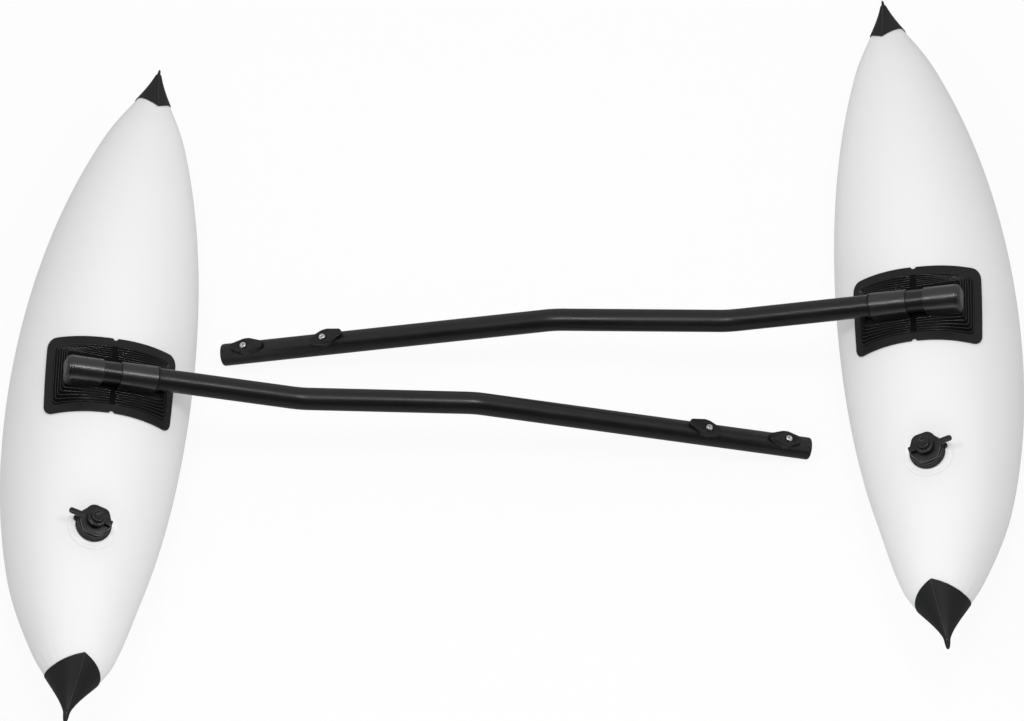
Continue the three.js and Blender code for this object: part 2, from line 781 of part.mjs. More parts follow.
// Screw plug with a lobed rim, two finger wings and a neck that takes the pump.
function valvePlug() {
  const barrel = baseBoreDiameter / 2;
  const bore = plugBoreDiameter / 2;
  const stem = clearBore(flapStem / 2, roundSides);
  const low = rimLow - plugBarrelDepth;
  const body = revolve([
    [stem, low],
    [barrel - plugSeatThickness / 2, low],
    [barrel, low + plugSeatThickness],
    [barrel, rimLow + plugRimHeight / 2],
    [plugNeckDiameter / 2, rimTop],
    [plugNeckDiameter / 2, neckTop],
    [bore, neckTop],
    [bore, plugSeatTop],
    [stem, plugSeatTop],
    [stem, low],
  ], valveSides);
  const rimRadius = baseDiameter / 2 - baseStep;
  const lobed = Array.from({ length: plugLobes * lobeSteps }, (_, i) => {
    const turn = i * 2 * Math.PI / (plugLobes * lobeSteps);
    const radius = rimRadius - plugLobe + plugLobe * Math.cos(plugLobes * turn);
    return [radius * Math.cos(turn + wingTurn), radius * Math.sin(turn + wingTurn)];
  });
  const wings = block(
    at(-wingReach, -wingWidth / 2, rimTop - wingThickness),
    at(wingTail, wingWidth / 2, rimTop),
  );
  const core = bar(bore, at(0, 0, plugSeatTop), at(0, 0, neckTop + overrun), valveSides);
  let plug = body.add(prism(lobed, rimLow, rimTop).add(turned(wings, wingTurn)).subtract(core));
  const ventCircle = (stem + bore) / 2;
  for (let i = 0; i < ventCount; i += 1) {
    const turn = i * 2 * Math.PI / ventCount;
    const x = ventCircle * Math.cos(turn);
    const y = ventCircle * Math.sin(turn);
    plug = plug.subtract(bar(
      ventDiameter / 2,
      at(x, y, low - overrun),
      at(x, y, plugSeatTop + seatGap),
      roundSides / 2,
    ));
  }
  return plug;
}

// One-way flap: a soft disc under the plug's seat, held by its own stem and bulb.
function checkFlap() {
  const low = rimLow - plugBarrelDepth;
  return revolve([
    [0, low - seatGap - flapThickness],
    [flapDiameter / 2, low - seatGap - flapThickness / 2],
    [flapDiameter / 2, low - seatGap],
    [flapStem / 2, low - seatGap],
    [flapStem / 2, plugSeatTop + seatGap],
    [flapBulb / 2, plugSeatTop + seatGap],
    [flapBulb / 4, plugSeatTop + flapBulb / 2],
    [0, plugSeatTop + flapBulb / 2],
  ]);
}

const capLow = neckTop + seatGap;

// Flip cap with its knob and strap. The strap's round end turns on the plug's wing.
function valveCap() {
  const disc = capDiscDiameter / 2;
  const knob = knobDiameter / 2;
  const discTop = capLow + capDiscHeight;
  const capTop = discTop + knobHeight;
  const body = revolve([
    [0, capLow],
    [disc, capLow],
    [disc, discTop - capDiscHeight / 4],
    [disc - capDiscHeight / 4, discTop],
    [knob - seatGap, discTop],
    [knob, capTop - knobHeight / 3],
    [knob - knobHeight / 4, capTop],
    [knob / 2, capTop - knobHeight / 8],
    [0, capTop - knobHeight / 8],
  ], valveSides);
  const strap = block(
    at(disc - capDiscHeight, -strapWidth / 2, capLow),
    at(strapPivotRadius, strapWidth / 2, capLow + strapThickness),
  );
  const drop = block(
    at(strapPivotRadius - strapThickness, -strapWidth / 2, strapPivotHeight),
    at(strapPivotRadius, strapWidth / 2, capLow + strapThickness),
  );
  const pivot = bar(
    strapThickness * 3 / 4,
    at(strapPivotRadius - strapThickness / 2, -strapWidth / 2, strapPivotHeight),
    at(strapPivotRadius - strapThickness / 2, strapWidth / 2, strapPivotHeight),
    roundSides / 2,
  );
  return turned(body.add(strap).add(drop).add(pivot), wingTurn);
}

const strapPivotHeight = rimTop + seatGap + strapThickness * 3 / 4;

// Assembly

function named(name, solid, material) {
  const mesh = new THREE.Mesh(toGeometry(solid), material());
  mesh.name = name;
  return mesh;
}

const floatPieces = {
  float_hull: named("float_hull", floatHull(), materials.film),
  bow_cap: named("bow_cap", tipCap(1), materials.tipCap),
  stern_cap: named("stern_cap", tipCap(-1), materials.tipCap),
  sleeve_pad: named("sleeve_pad", sleevePad(), materials.rubber),
};
const armPieces = {
  sleeve_ring: named("sleeve_ring", sleeveRing(), materials.rubber),
  arm_tube: named("arm_tube", armTube(), materials.arm),
  blind_end_plug: named("blind_end_plug", endPlug(armBack, -1, sleeveAxis), materials.plastic),
  deck_end_plug: named("deck_end_plug", endPlug(armEnd, 1, deckAxis), materials.plastic),
  outer_saddle: named("outer_saddle", saddle(screwPlaces.outer, 0), materials.plastic),
  inner_saddle: named("inner_saddle", saddle(screwPlaces.inner, innerSaddleYaw), materials.plastic),
};
for (const [place, x] of Object.entries(screwPlaces)) {
  armPieces[place + "_screw"] = named(place + "_screw", deckScrew(x), materials.steel);
  armPieces[place + "_washer"] = named(place + "_washer", washer(x), materials.steel);
  armPieces[place + "_lock_nut"] = named(place + "_lock_nut", lockNut(x), materials.steel);
}
const valvePieces = {
  valve_flange: named("valve_flange", valveFlange(), materials.clear),
  valve_base: named("valve_base", valveBase(), materials.plastic),
  plug_seal: named("plug_seal", plugSeal(), materials.rubber),
  valve_plug: named("valve_plug", valvePlug(), materials.plastic),
  check_flap: named("check_flap", checkFlap(), materials.rubber),
  valve_cap: named("valve_cap", valveCap(), materials.plastic),
};

// One outrigger in its place. The right one is the mirror image of the left one.
function outrigger(side, mirror, x, y, heading) {
  const leaned = new THREE.Group();
  leaned.rotation.y = lean;
  const arm = new THREE.Group();
  arm.name = side + "_arm_frame";
  arm.position.y = armFromMiddle;
  arm.rotation.z = armTurn;
  const valve = new THREE.Group();
  valve.name = side + "_valve_frame";
  valve.applyMatrix4(valveFrame().matrix);
  leaned.name = side + "_frame";
  const copyInto = (group, pieces) => {
    for (const piece of Object.values(pieces)) {
      const copy = piece.clone();
      copy.material = piece.material.clone();
      copy.name = side + "_" + piece.name;
      group.add(copy);
    }
  };
  copyInto(leaned, floatPieces);
  copyInto(arm, armPieces);
  copyInto(valve, valvePieces);
  leaned.add(arm, valve);
  const handed = new THREE.Group();
  handed.scale.x = mirror;
  handed.add(leaned);
  const placed = new THREE.Group();
  placed.position.set(x, y, floatRadius);
  placed.rotation.z = heading;
  placed.add(handed);
  return placed;
}

const pair = new THREE.Group();
pair.add(outrigger("left", 1, -pairSpacing / 2, -pairStagger / 2, leftHeading));
pair.add(outrigger("right", -1, pairSpacing / 2, pairStagger / 2, rightHeading));
pair.updateMatrixWorld(true);

// The origin is at the middle of the pair's footprint, on the ground.
const footprint = new THREE.Box3().setFromObject(pair, true);
const centre = footprint.getCenter(new THREE.Vector3());
pair.position.set(-centre.x, -centre.y, -footprint.min.z);

const outriggers = new THREE.Group();
outriggers.name = "kayak_outriggers";
outriggers.add(pair);

export default outriggers;
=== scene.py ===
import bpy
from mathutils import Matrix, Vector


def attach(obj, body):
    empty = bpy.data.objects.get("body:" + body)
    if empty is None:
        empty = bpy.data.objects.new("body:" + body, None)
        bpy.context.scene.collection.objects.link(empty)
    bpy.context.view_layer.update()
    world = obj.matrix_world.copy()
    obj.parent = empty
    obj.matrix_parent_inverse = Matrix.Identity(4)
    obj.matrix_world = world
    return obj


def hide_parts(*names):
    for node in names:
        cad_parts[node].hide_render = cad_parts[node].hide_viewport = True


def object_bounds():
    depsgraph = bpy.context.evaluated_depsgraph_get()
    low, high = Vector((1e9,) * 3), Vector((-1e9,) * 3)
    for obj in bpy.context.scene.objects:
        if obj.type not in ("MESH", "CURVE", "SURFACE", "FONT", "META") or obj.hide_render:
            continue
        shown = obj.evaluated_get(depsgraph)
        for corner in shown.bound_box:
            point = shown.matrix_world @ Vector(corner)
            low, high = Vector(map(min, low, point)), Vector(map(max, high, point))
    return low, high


bl_info = {
    "name": "Kayak outriggers",
    "version": (1, 0, 0),
    "blender": (4, 5, 0),
    "location": "View3D > Sidebar > Outriggers",
    "description": "Dresses a pair of inflatable kayak outriggers with their tube arms and deck fittings",
    "category": "Object",
}

import math
from functools import cache, partial

import bmesh
import bpy
from mathutils import Matrix, Vector

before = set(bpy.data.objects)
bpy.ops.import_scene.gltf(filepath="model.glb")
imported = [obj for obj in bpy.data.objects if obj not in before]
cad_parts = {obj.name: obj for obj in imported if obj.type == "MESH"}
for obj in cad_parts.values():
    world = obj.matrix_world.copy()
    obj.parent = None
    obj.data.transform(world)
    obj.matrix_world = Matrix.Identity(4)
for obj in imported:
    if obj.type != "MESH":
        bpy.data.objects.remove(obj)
cad_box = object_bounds()

SIDES = ("left", "right")
TURN = 2 * math.pi
MERGE = 1e-6  # points closer than this become one

# How the hull's ends depart from its plain form, as shares of the way from its middle to a tip
DRAW_START = 0.78
DRAW_FLOOR = 0.02  # least share of the girth that is kept
SWEEP_START, SWEEP_FULL = 0.56, 0.85
SWEEP_KEPT = 0.35  # share of the sweep that is left at the tip


# Settings


def length(label, description, default):
    """A length in metres."""
    return bpy.props.FloatProperty(name=label, description=description, default=default, unit="LENGTH", precision=5)


def number(label, description, default):
    """A plain number."""
    return bpy.props.FloatProperty(name=label, description=description, default=default, precision=4)


def angle(label, description, degrees):
    """An angle, given here in degrees."""
    return bpy.props.FloatProperty(
        name=label, description=description, default=math.radians(degrees), subtype="ANGLE"
    )


def spot(label, description, default):
    """A place in the frame."""
    return bpy.props.FloatVectorProperty(
        name=label, description=description, default=default, subtype="TRANSLATION"
    )


def count(label, description, default):
    return bpy.props.IntProperty(name=label, description=description, default=default, min=1)


def colour(label, description, default):
    return bpy.props.FloatVectorProperty(
        name=label, description=description, default=default, size=3, min=0.0, max=1.0, subtype="COLOR"
    )


class FloatSettings(bpy.types.PropertyGroup):
    """The inflated hull and its welded tip caps."""

    length: length("Length", "From tip to tip, without the weld tails", 1.070)
    diameter: length("Diameter", "Across the middle", 0.260)
    tip_rise: length("Tip rise", "How far the tips bow up from the middle", 0.060)
    crown_turn: angle("Crown turn", "Turn of the crown seam towards the boat", 3.5)
    taper: number("Taper", "Exponent of the taper", 1.0)
    fullness: number("Fullness", "Extra girth towards the tips", 0.26)
    bow_draw: number("Bow draw", "How far the last fifth draws in towards the bow tip", 0.58)
    stern_draw: number("Stern draw", "How far the last fifth draws in towards the stern tip", 1.03)
    stern_sweep: length("Stern sweep", "How far the stern end bows towards the boat", 0.0085)
    rows: count("Rows", "Steps of the skin from tip to tip", 150)
    columns: count("Columns", "Steps of the skin round the hull", 128)
    pucker: length("Pucker", "Depth of the small folds beside the tip caps", 0.0007)
    film: colour("Film", "Colour of the float's film", (0.80, 0.805, 0.80))
    bow_cap: length("Bow cap", "Along the seams, from the tip", 0.0735)
    stern_cap: length("Stern cap", "Along the seams, from the tip", 0.099)
    cap_recess: length("Cap recess", "How far the edge draws back between seams", 0.0205)
    cap_thickness: length("Cap thickness", "Thickness of the cap's film", 0.0011)
    cap_gap: length("Cap gap", "Between the cap and the hull", 0.0006)
    seam: length("Seam", "Width of the ridge along each of the two seams", 0.0012)
    bow_tail: length("Bow tail", "Flat weld tail that ends at the bow tip", 0.009)
    stern_tail: length("Stern tail", "Flat weld tail that ends at the stern tip", 0.022)
    tail_width: length("Tail width", "Width of the stern's weld tail", 0.0095)
    tail_thickness: length("Tail thickness", "Thickness of the weld tails", 0.003)
    cap_film: colour("Cap film", "Colour of the tip caps", (0.0095, 0.010, 0.0108))


class PadSettings(bpy.types.PropertyGroup):
    """The moulded rubber pad with its two sleeve barrels."""

    shift: length("Shift", "How far the pad lies inboard of the crown", -0.0115)
    ahead: length("Ahead", "How far its middle lies ahead of the arm's place", 0.006)
    turn: angle("Turn", "Ahead, from square to the float", 4.5)
    width: length("Width", "Round the hull", 0.200)
    length: length("Length", "Along the hull", 0.119)
    flare: length("Flare", "How far the far outboard corner reaches on", 0.008)
    corner: length("Corner", "Corner radius", 0.014)
    gap: length("Gap", "Between the pad and the hull", 0.00045)
    thickness: length("Thickness", "Of the border band", 0.0024)
    edge: length("Edge", "Rounding of the rim", 0.0008)
    border: length("Border", "Width of the smooth border band", 0.013)
    ribs: count("Ribs", "Nested ribs between border and sleeve", 6)
    rib_pitch_along: length("Rib pitch along", "Between ribs, counted along the hull", 0.0038)
    rib_pitch_round: length("Rib pitch round", "Between ribs, counted round the hull", 0.0026)
    rib_height: length("Rib height", "Of each rib above its floor", 0.0011)
    rib_step: length("Rib step", "Each floor stands this much above the one outside it", 0.00017)
    rib_width: length("Rib width", "Across each rib", 0.0012)
    slot: length("Slot", "Width of the slot that parts the ribs", 0.0075)
    notch: length("Notch", "Radius of the notch at the end of each slot", 0.0034)
    sleeve_length: length("Sleeve length", "Both barrels and the window between them", 0.132)
    sleeve_shift: length("Sleeve shift", "How far the sleeve lies inboard of the crown", -0.021)
    window: length("Window", "Bare tube between the two barrels", 0.026)
    wall: length("Wall", "Thickness of the barrels", 0.0016)
    end_wall: length("End wall", "Thickness of the closed end", 0.003)
    round: length("Round", "Rounding of the closed end", 0.009)
    rubber: colour("Rubber", "Colour of the pad", (0.0035, 0.0035, 0.004))


class ArmSettings(bpy.types.PropertyGroup):
    """The bent tube arm, its end plugs and the ring at its sleeve."""

    place: length("Place", "Along the float, from its middle", -0.0245)
    turn: angle("Turn", "Ahead, from square to the float", 7.3)
    diameter: length("Diameter", "Of the tube", 0.032)
    wall: length("Wall", "Of the tube", 0.0015)
    outer_run: length("Outer run", "Blind end to the first bend's corner", 0.3397)
    middle_run: length("Middle run", "Between the corners, level distance", 0.241)
    inner_run: length("Inner run", "Second corner to the inboard end", 0.501)
    bend: angle("Bend", "Of each corner", 13.4)
    bend_radius: length("Bend radius", "Of the tube's axis", 0.115)
    clearance: length("Clearance", "Between pieces that touch", 0.0003)
    plug_flange: length("Plug flange", "Thickness of the end plugs' flanges", 0.0015)
    ring_width: length("Ring width", "Rubber ring at the sleeve's mouth", 0.0032)
    ring_wall: length("Ring wall", "Rubber ring at the sleeve's mouth", 0.0021)
    coat: colour("Coat", "Colour of the tube's coating", (0.0040, 0.0040, 0.0044))


class FitSettings(bpy.types.PropertyGroup):
    """The clamp plates, screws, washers and lock nuts at the deck end."""

    screw_from_end: length("Screw from end", "Outer screw, from the tube's end", 0.036)
    screw_spacing: length("Screw spacing", "Between the two screws", 0.121)
    inner_yaw: angle("Inner yaw", "Turn of the inner plate on its screw", -12)
    saddle_length: length("Plate length", "Along the tube", 0.048)
    saddle_width: length("Plate width", "Across the tube", 0.023)
    saddle_nose: length("Nose", "Width of the plate's blunt ends", 0.0095)
    saddle_shoulder: length("Shoulder", "Length of the straight side between the slants", 0.008)
    saddle_offset: length("Offset", "The plate's middle, from its screw towards the float", 0.0045)
    saddle_crown: length("Crown", "Top face above the tube", 0.0068)
    recess: length("Recess", "Diameter of the round recess for the screw head", 0.013)
    recess_depth: length("Recess depth", "Of the round recess for the screw head", 0.0014)
    screw: length("Screw", "Diameter of its shank", 0.006)
    screw_length: length("Screw length", "Below its head", 0.045)
    head: length("Head", "Diameter of the screw's head", 0.0104)
    head_height: length("Head height", "Of the screw's head", 0.0034)
    washer: length("Washer", "Diameter", 0.012)
    washer_height: length("Washer height", "Thickness", 0.0012)
    nut: length("Nut", "Across its flats", 0.010)
    nut_height: length("Nut height", "Of the hexagon", 0.005)
    nut_collar: length("Nut collar", "Below the hexagon", 0.0012)


class ValveSettings(bpy.types.PropertyGroup):
    """The screw valve."""

    place: length("Place", "Along the float, from its middle", -0.255)
    shift: length("Shift", "How far it lies inboard of the crown", -0.010)
    flange: length("Flange", "Diameter of the welded film", 0.070)
    film: length("Film", "Thickness of the welded film", 0.001)
    seat: length("Seat", "Height of its flat seat above the hull", 0.0016)
    base: length("Base", "Diameter", 0.050)
    base_height: length("Base height", "Above its seat", 0.0135)
    base_neck: length("Neck", "Diameter of the base inside the hull", 0.038)
    neck_depth: length("Neck depth", "Of the base inside the hull", 0.009)
    base_bore: length("Base bore", "Diameter", 0.032)
    base_step: length("Base step", "How far the base draws in towards its top", 0.0022)
    ridges: count("Ridges", "Grip ridges round the base", 60)
    anchor: length("Anchor", "Reach of the lug past the base", 0.005)
    anchor_turn: angle("Anchor turn", "Where the lug stands", 169)
    seal: length("Seal", "Thickness", 0.0018)
    barrel: length("Barrel", "Depth of the plug's barrel", 0.020)
    rim_height: length("Rim height", "Of the plug's lobed rim", 0.0065)
    lobe: length("Lobe", "Depth between the lobes, halved", 0.0008)
    lobes: count("Lobes", "Of the plug's rim", 6)
    neck: length("Plug neck", "Diameter", 0.024)
    neck_height: length("Plug neck height", "Above the rim", 0.005)
    pump_bore: length("Pump bore", "Diameter", 0.017)
    stem: length("Stem", "Of the check flap", 0.0034)
    wing_reach: length("Wing reach", "From the plug's middle, outboard", 0.040)
    wing_tail: length("Wing tail", "And inboard", 0.023)
    wing_width: length("Wing width", "Across", 0.008)
    wing_height: length("Wing height", "Thickness", 0.0046)
    wing_turn: angle("Wing turn", "Turn of the plug as it is screwed home", -11)
    cap: length("Cap", "Diameter of the cap's disc", 0.027)
    cap_height: length("Cap height", "Of the cap's disc", 0.0044)
    knob: length("Knob", "Diameter", 0.018)
    knob_height: length("Knob height", "Above the disc", 0.007)
    strap_pivot: length("Strap pivot", "From the plug's middle", 0.023)


class PlaceSettings(bpy.types.PropertyGroup):
    """Where each outrigger lies."""

    left: spot("Left", "Middle of the left hull", (-0.5899973, -0.0570912, 0.13))
    right: spot("Right", "Middle of the right hull", (0.5948974, 0.0591088, 0.13))
    left_heading: angle("Left heading", "Turn of the left outrigger on the floor", -6)
    right_heading: angle("Right heading", "Turn of the right outrigger on the floor", 3.8)
    lean: angle("Lean", "Of each outrigger, with its arm's end on the floor", 18.3292)


class StageSettings(bpy.types.PropertyGroup):
    """Camera, light and floor."""

    camera: spot("Camera", "Where the camera stands", (-0.001751, -5.905829, 10.392305))
    tilt: angle("Tilt", "Of the camera, down from the level", 60)
    lens: number("Lens", "Focal length in millimetres", 291.96)
    key: number("Key", "Watts of the two lamps over the floats", 17.0)
    top: number("Top", "Watts of the large soft lamp overhead", 8.0)
    fill: number("Fill", "Watts of the soft lamp on the viewer's side", 6.0)
    sky: number("Sky", "Strength of the surroundings", 0.70)
    bright_side: number("Bright side", "Strength of the room in reflections, overhead and behind", 0.5)
    dark_side: number("Dark side", "Strength of the room in reflections, on the viewer's side", 0.06)
    floor_mirrored: number("Mirrored floor", "Strength of the floor in reflections", 0.26)
    floor: colour("Floor", "Colour of the floor", (0.86, 0.86, 0.86))


SETTINGS = {
    "outrigger_float": FloatSettings,
    "outrigger_pad": PadSettings,
    "outrigger_arm": ArmSettings,
    "outrigger_fit": FitSettings,
    "outrigger_valve": ValveSettings,
    "outrigger_place": PlaceSettings,
    "outrigger_stage": StageSettings,
}


# Shapes


class Hull:
    """The inflated hull's surface. X points to the boat, Y to the bow and Z up, before the hull leans."""

    def __init__(self, sizes):
        self.radius = sizes.diameter / 2
        self.half = sizes.length / 2
        self.taper = sizes.taper
        self.fullness = sizes.fullness
        self.rise = sizes.tip_rise
        self.turn = sizes.crown_turn
        self.draws = (sizes.stern_draw, sizes.bow_draw)
        self.sweep = sizes.stern_sweep

    def girth(self, t):
        drawn = 1 - self.draws[t > 0] * max((abs(t) - DRAW_START) / (1 - DRAW_START), 0.0) ** 2
        girth = self.radius * max(1 - t * t, 0.0) ** self.taper * (1 + self.fullness * t * t)
        return girth * max(drawn, DRAW_FLOOR)

    def middle(self, t):
        rise = self.rise * t * t
        out = min(max((-t - SWEEP_START) / (SWEEP_FULL - SWEEP_START), 0.0), 1.0)
        back = 1 - (1 - SWEEP_KEPT) * max((-t - SWEEP_FULL) / (1 - SWEEP_FULL), 0.0)
        bow = self.sweep * out * out * (3 - 2 * out) * back
        return Vector((rise * math.sin(self.turn) + bow, t * self.half, rise * math.cos(self.turn)))

    def point(self, t, around, offset=0.0):
        girth = self.girth(t) + offset
        return self.middle(t) + Vector((girth * math.sin(around), 0, girth * math.cos(around)))


def standing(side):
    """The matrix that lays one outrigger in its place. The right one is the mirror image of the left one."""
    place = bpy.context.scene.outrigger_place
    mirror = 1 if side == "left" else -1
    return (
        Matrix.Translation(getattr(place, side))
        @ Matrix.Rotation(getattr(place, side + "_heading"), 4, "Z")
        @ Matrix.Diagonal((mirror, 1, 1, 1))
        @ Matrix.Rotation(place.lean, 4, "Y")
    )


def polar(radius, turn, height=0.0):
    """A point by its distance from Z, its turn about it and its height."""
    return Vector((radius * math.cos(turn), radius * math.sin(turn), height))


def round_turn(sides):
    """The turns of a full circle's corners."""
    return [i * TURN / sides for i in range(sides)]


def quarter_turn(steps):
    """The turns of a quarter circle, with both its ends."""
    return [i / steps * math.pi / 2 for i in range(steps + 1)]


def skin(rings, closed=False, caps=None):
    """Vertices and faces between rings of points. caps are the points that close the two ends, if any."""
    width = len(rings[0])
    points = [p for ring in rings for p in ring]
    faces = []
    for r in range(len(rings) if closed else len(rings) - 1):
        here, there = r * width, (r + 1) % len(rings) * width
        for i in range(width):
            j = (i + 1) % width
            faces.append((here + i, here + j, there + j, there + i))
    if caps:
        points += caps
        last = (len(rings) - 1) * width
        for i in range(width):
            j = (i + 1) % width
            faces.append((j, i, len(points) - 2))
            faces.append((last + i, last + j, len(points) - 1))
    return points, faces


def shown(name, mesh):
    """An object of the mesh, in the scene."""
    made = bpy.data.objects.new(name, mesh)
    bpy.context.scene.collection.objects.link(made)
    return made


def turned_outwards(mesh):
    """Merges the mesh's doubled points and turns its faces outwards."""
    form = bmesh.new()
    form.from_mesh(mesh)
    bmesh.ops.remove_doubles(form, verts=form.verts, dist=MERGE)
    bmesh.ops.recalc_face_normals(form, faces=form.faces)
    form.to_mesh(mesh)
    form.free()


def solid(name, points, faces, matrix=None, crease=40):
    """An object of these faces, turned outwards and shaded smooth, with edges above the crease angle kept sharp."""
    mesh = bpy.data.meshes.new(name)
    mesh.from_pydata([tuple(p) for p in points], [], faces)
    if matrix is not None:
        mesh.transform(matrix)
    turned_outwards(mesh)
    mesh.shade_smooth()
    mesh.set_sharp_from_angle(angle=math.radians(crease))
    return shown(name, mesh)


def soft(profile, radius, steps=3, looped=False):
    """The (a, b) outline with its corners rounded. Unless it is looped, its two end points stay."""
    made = []
    for i, here in enumerate(profile):
        if not looped and i in (0, len(profile) - 1):
            made.append(here)
            continue
        here, before, after = Vector(here), Vector(profile[i - 1]), Vector(profile[(i + 1) % len(profile)])
        start = here + (before - here).normalized() * min(radius, (before - here).length * 0.45)
        stop = here + (after - here).normalized() * min(radius, (after - here).length * 0.45)
        for step in range(steps + 1):
            f = step / steps
            made.append(tuple(start.lerp(here, f).lerp(here.lerp(stop, f), f)))
    return made


def lathe(name, profile, sides=72):
    """A piece turned about Z, of (radius, height) pairs that go from axis to axis or form a loop."""
    open_ended = profile[0][0] == 0 and profile[-1][0] == 0
    inside = profile[1:-1] if open_ended else profile
    rings = [[polar(r, a, z) for a in round_turn(sides)] for r, z in inside]
    caps = [Vector((0, 0, z)) for z in (profile[0][1], profile[-1][1])] if open_ended else None
    return solid(name, *skin(rings, closed=not open_ended, caps=caps))


def slab(name, outline, low, high, edge, middle=(0, 0), hole=None):
    """A plate between two heights with a rounded rim. It closes in its middle, or round a hole of that radius."""
    def ring(inset, z):
        made = []
        for i, (x, y) in enumerate(outline):
            before, after = outline[i - 1], outline[(i + 1) % len(outline)]
            out = Vector((after[1] - before[1], before[0] - after[0])).normalized()
            made.append(Vector((x - out.x * inset, y - out.y * inset, z)))
        return made

    quarter = quarter_turn(4)
    rings = [ring(edge * (1 - math.sin(a)), low + edge * (1 - math.cos(a))) for a in quarter]
    rings += [ring(edge * (1 - math.sin(a)), high - edge * (1 - math.cos(a))) for a in reversed(quarter)]
    if hole is None:
        return solid(name, *skin(rings, caps=(Vector((*middle, low)), Vector((*middle, high)))))
    inner = [[polar(hole, math.atan2(y, x), z) for x, y in outline] for z in (high, low)]
    return solid(name, *skin([*rings, *inner], closed=True))


def cut(piece, tool):
    """Takes the tool's shape out of the piece and removes the tool."""
    modifier = piece.modifiers.new("cut", "BOOLEAN")
    modifier.object = tool
    modifier.operation = "DIFFERENCE"
    keep_result(piece)
    bpy.data.objects.remove(tool)


def keep_result(piece):
    """The piece's one modifier becomes its plain mesh."""
    graph = bpy.context.evaluated_depsgraph_get()
    graph.update()
    mesh = bpy.data.meshes.new_from_object(piece.evaluated_get(graph))
    piece.modifiers.clear()
    old = piece.data
    piece.data = mesh
    bpy.data.meshes.remove(old)
    mesh.name = piece.name


def joined(name, parts):
    """One object of several meshes, each with its own material."""
    form = bmesh.new()
    looks = []
    for part in parts:
        known = len(form.faces)
        form.from_mesh(part.data)
        form.faces.ensure_lookup_table()
        look = part.data.materials[0]
        if look not in looks:
            looks.append(look)
        for face in form.faces[known:]:
            face.material_index = looks.index(look)
    mesh = bpy.data.meshes.new(name)
    form.to_mesh(mesh)
    form.free()
    for look in looks:
        mesh.materials.append(look)
    for part in parts:
        old = part.data
        bpy.data.objects.remove(part)
        bpy.data.meshes.remove(old)
    return shown(name, mesh)


def coated(piece, look):
    """The piece with its material."""
    piece.data.materials.clear()
    piece.data.materials.append(look)
    return piece


def plastic(name, *parts):
    """The parts as one piece of black plastic."""
    return joined(name, [coated(part, material("black_plastic")) for part in parts])


def seated(piece, matrix, body, slot, *nodes):
    """The piece goes to its place, rides on its body and stands for its nodes. Its slot is not used."""
    piece.data.transform(matrix)
    turned_outwards(piece.data)
    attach(piece, body)
    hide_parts(*nodes)


# Geometry node trees


def add_sockets(tree, way, kinds):
    """Adds the labels that are listed under each kind as sockets, and gives each one's identifier."""
    return {
        label: tree.interface.new_socket(name=label, in_out=way, socket_type="NodeSocket" + kind).identifier
        for kind, labels in kinds.items() for label in labels
    }


def new_tree(name, kinds):
    """A geometry tree with named inputs. Gives the tree, its given values and each input's identifier."""
    tree = bpy.data.node_groups.new(name, "GeometryNodeTree")
    known = add_sockets(tree, "INPUT", {"Geometry": ["Geometry"], **kinds})
    add_sockets(tree, "OUTPUT", {"Geometry": ["Geometry"]})
    return tree, tree.nodes.new("NodeGroupInput").outputs, known


def end_tree(tree, geometry, look, smooth=True):
    """Ends a geometry tree: real geometry, shaded smooth where asked, in its material."""
    geometry = put(tree, "GeometryNodeRealizeInstances", Geometry=geometry).outputs[0]
    if smooth:
        geometry = put(tree, "GeometryNodeSetShadeSmooth", Geometry=geometry).outputs[0]
    dressed = put(tree, "GeometryNodeSetMaterial", Geometry=geometry, Material=look)
    tree.links.new(dressed.outputs[0], tree.nodes.new("NodeGroupOutput").inputs[0])


def put(tree, kind, settings=None, **inputs):
    """A node with its settings, and its inputs joined or set. Underscores in a name stand for spaces."""
    node = tree.nodes.new(kind)
    for key, value in (settings or {}).items():
        setattr(node, key, value)
    for key, value in inputs.items():
        link(tree, node.inputs[key.replace("_", " ")], value)
    return node


def link(tree, socket, value):
    """Joins the socket to another one, or sets it to a plain value."""
    if isinstance(value, bpy.types.NodeSocket):
        tree.links.new(value, socket)
    else:
        socket.default_value = value


def maths(tree, operation, *values):
    """The output of a Math node, or of a chain of them where there are more than two values."""
    node = tree.nodes.new("ShaderNodeMath")
    node.operation = operation
    for socket, value in zip(node.inputs, values[:2]):
        link(tree, socket, value)
    if len(values) > 2:
        return maths(tree, operation, node.outputs[0], *values[2:])
    return node.outputs[0]


def mixed(tree, factor, first, second, colours=False):
    """The output of a Mix node between two numbers, or between two colours."""
    node = put(tree, "ShaderNodeMix", {"data_type": "RGBA" if colours else "FLOAT"})
    low, result = (6, 2) if colours else (2, 0)
    for socket, value in ((0, factor), (low, first), (low + 1, second)):
        link(tree, node.inputs[socket], value)
    return node.outputs[result]


def span(tree, value, low, high, first=0.0, second=1.0, kind="LINEAR"):
    """The value's place between low and high, as a number between first and second."""
    return put(
        tree, "ShaderNodeMapRange", {"interpolation_type": kind},
        Value=value, From_Min=low, From_Max=high, To_Min=first, To_Max=second,
    ).outputs[0]


def baked(piece, tree, known, values):
    """The tree's result on the piece, as the piece's plain mesh."""
    modifier = piece.modifiers.new(tree.name, "NODES")
    modifier.node_group = tree
    for label, value in values.items():
        modifier[known[label]] = value
    keep_result(piece)
    return piece


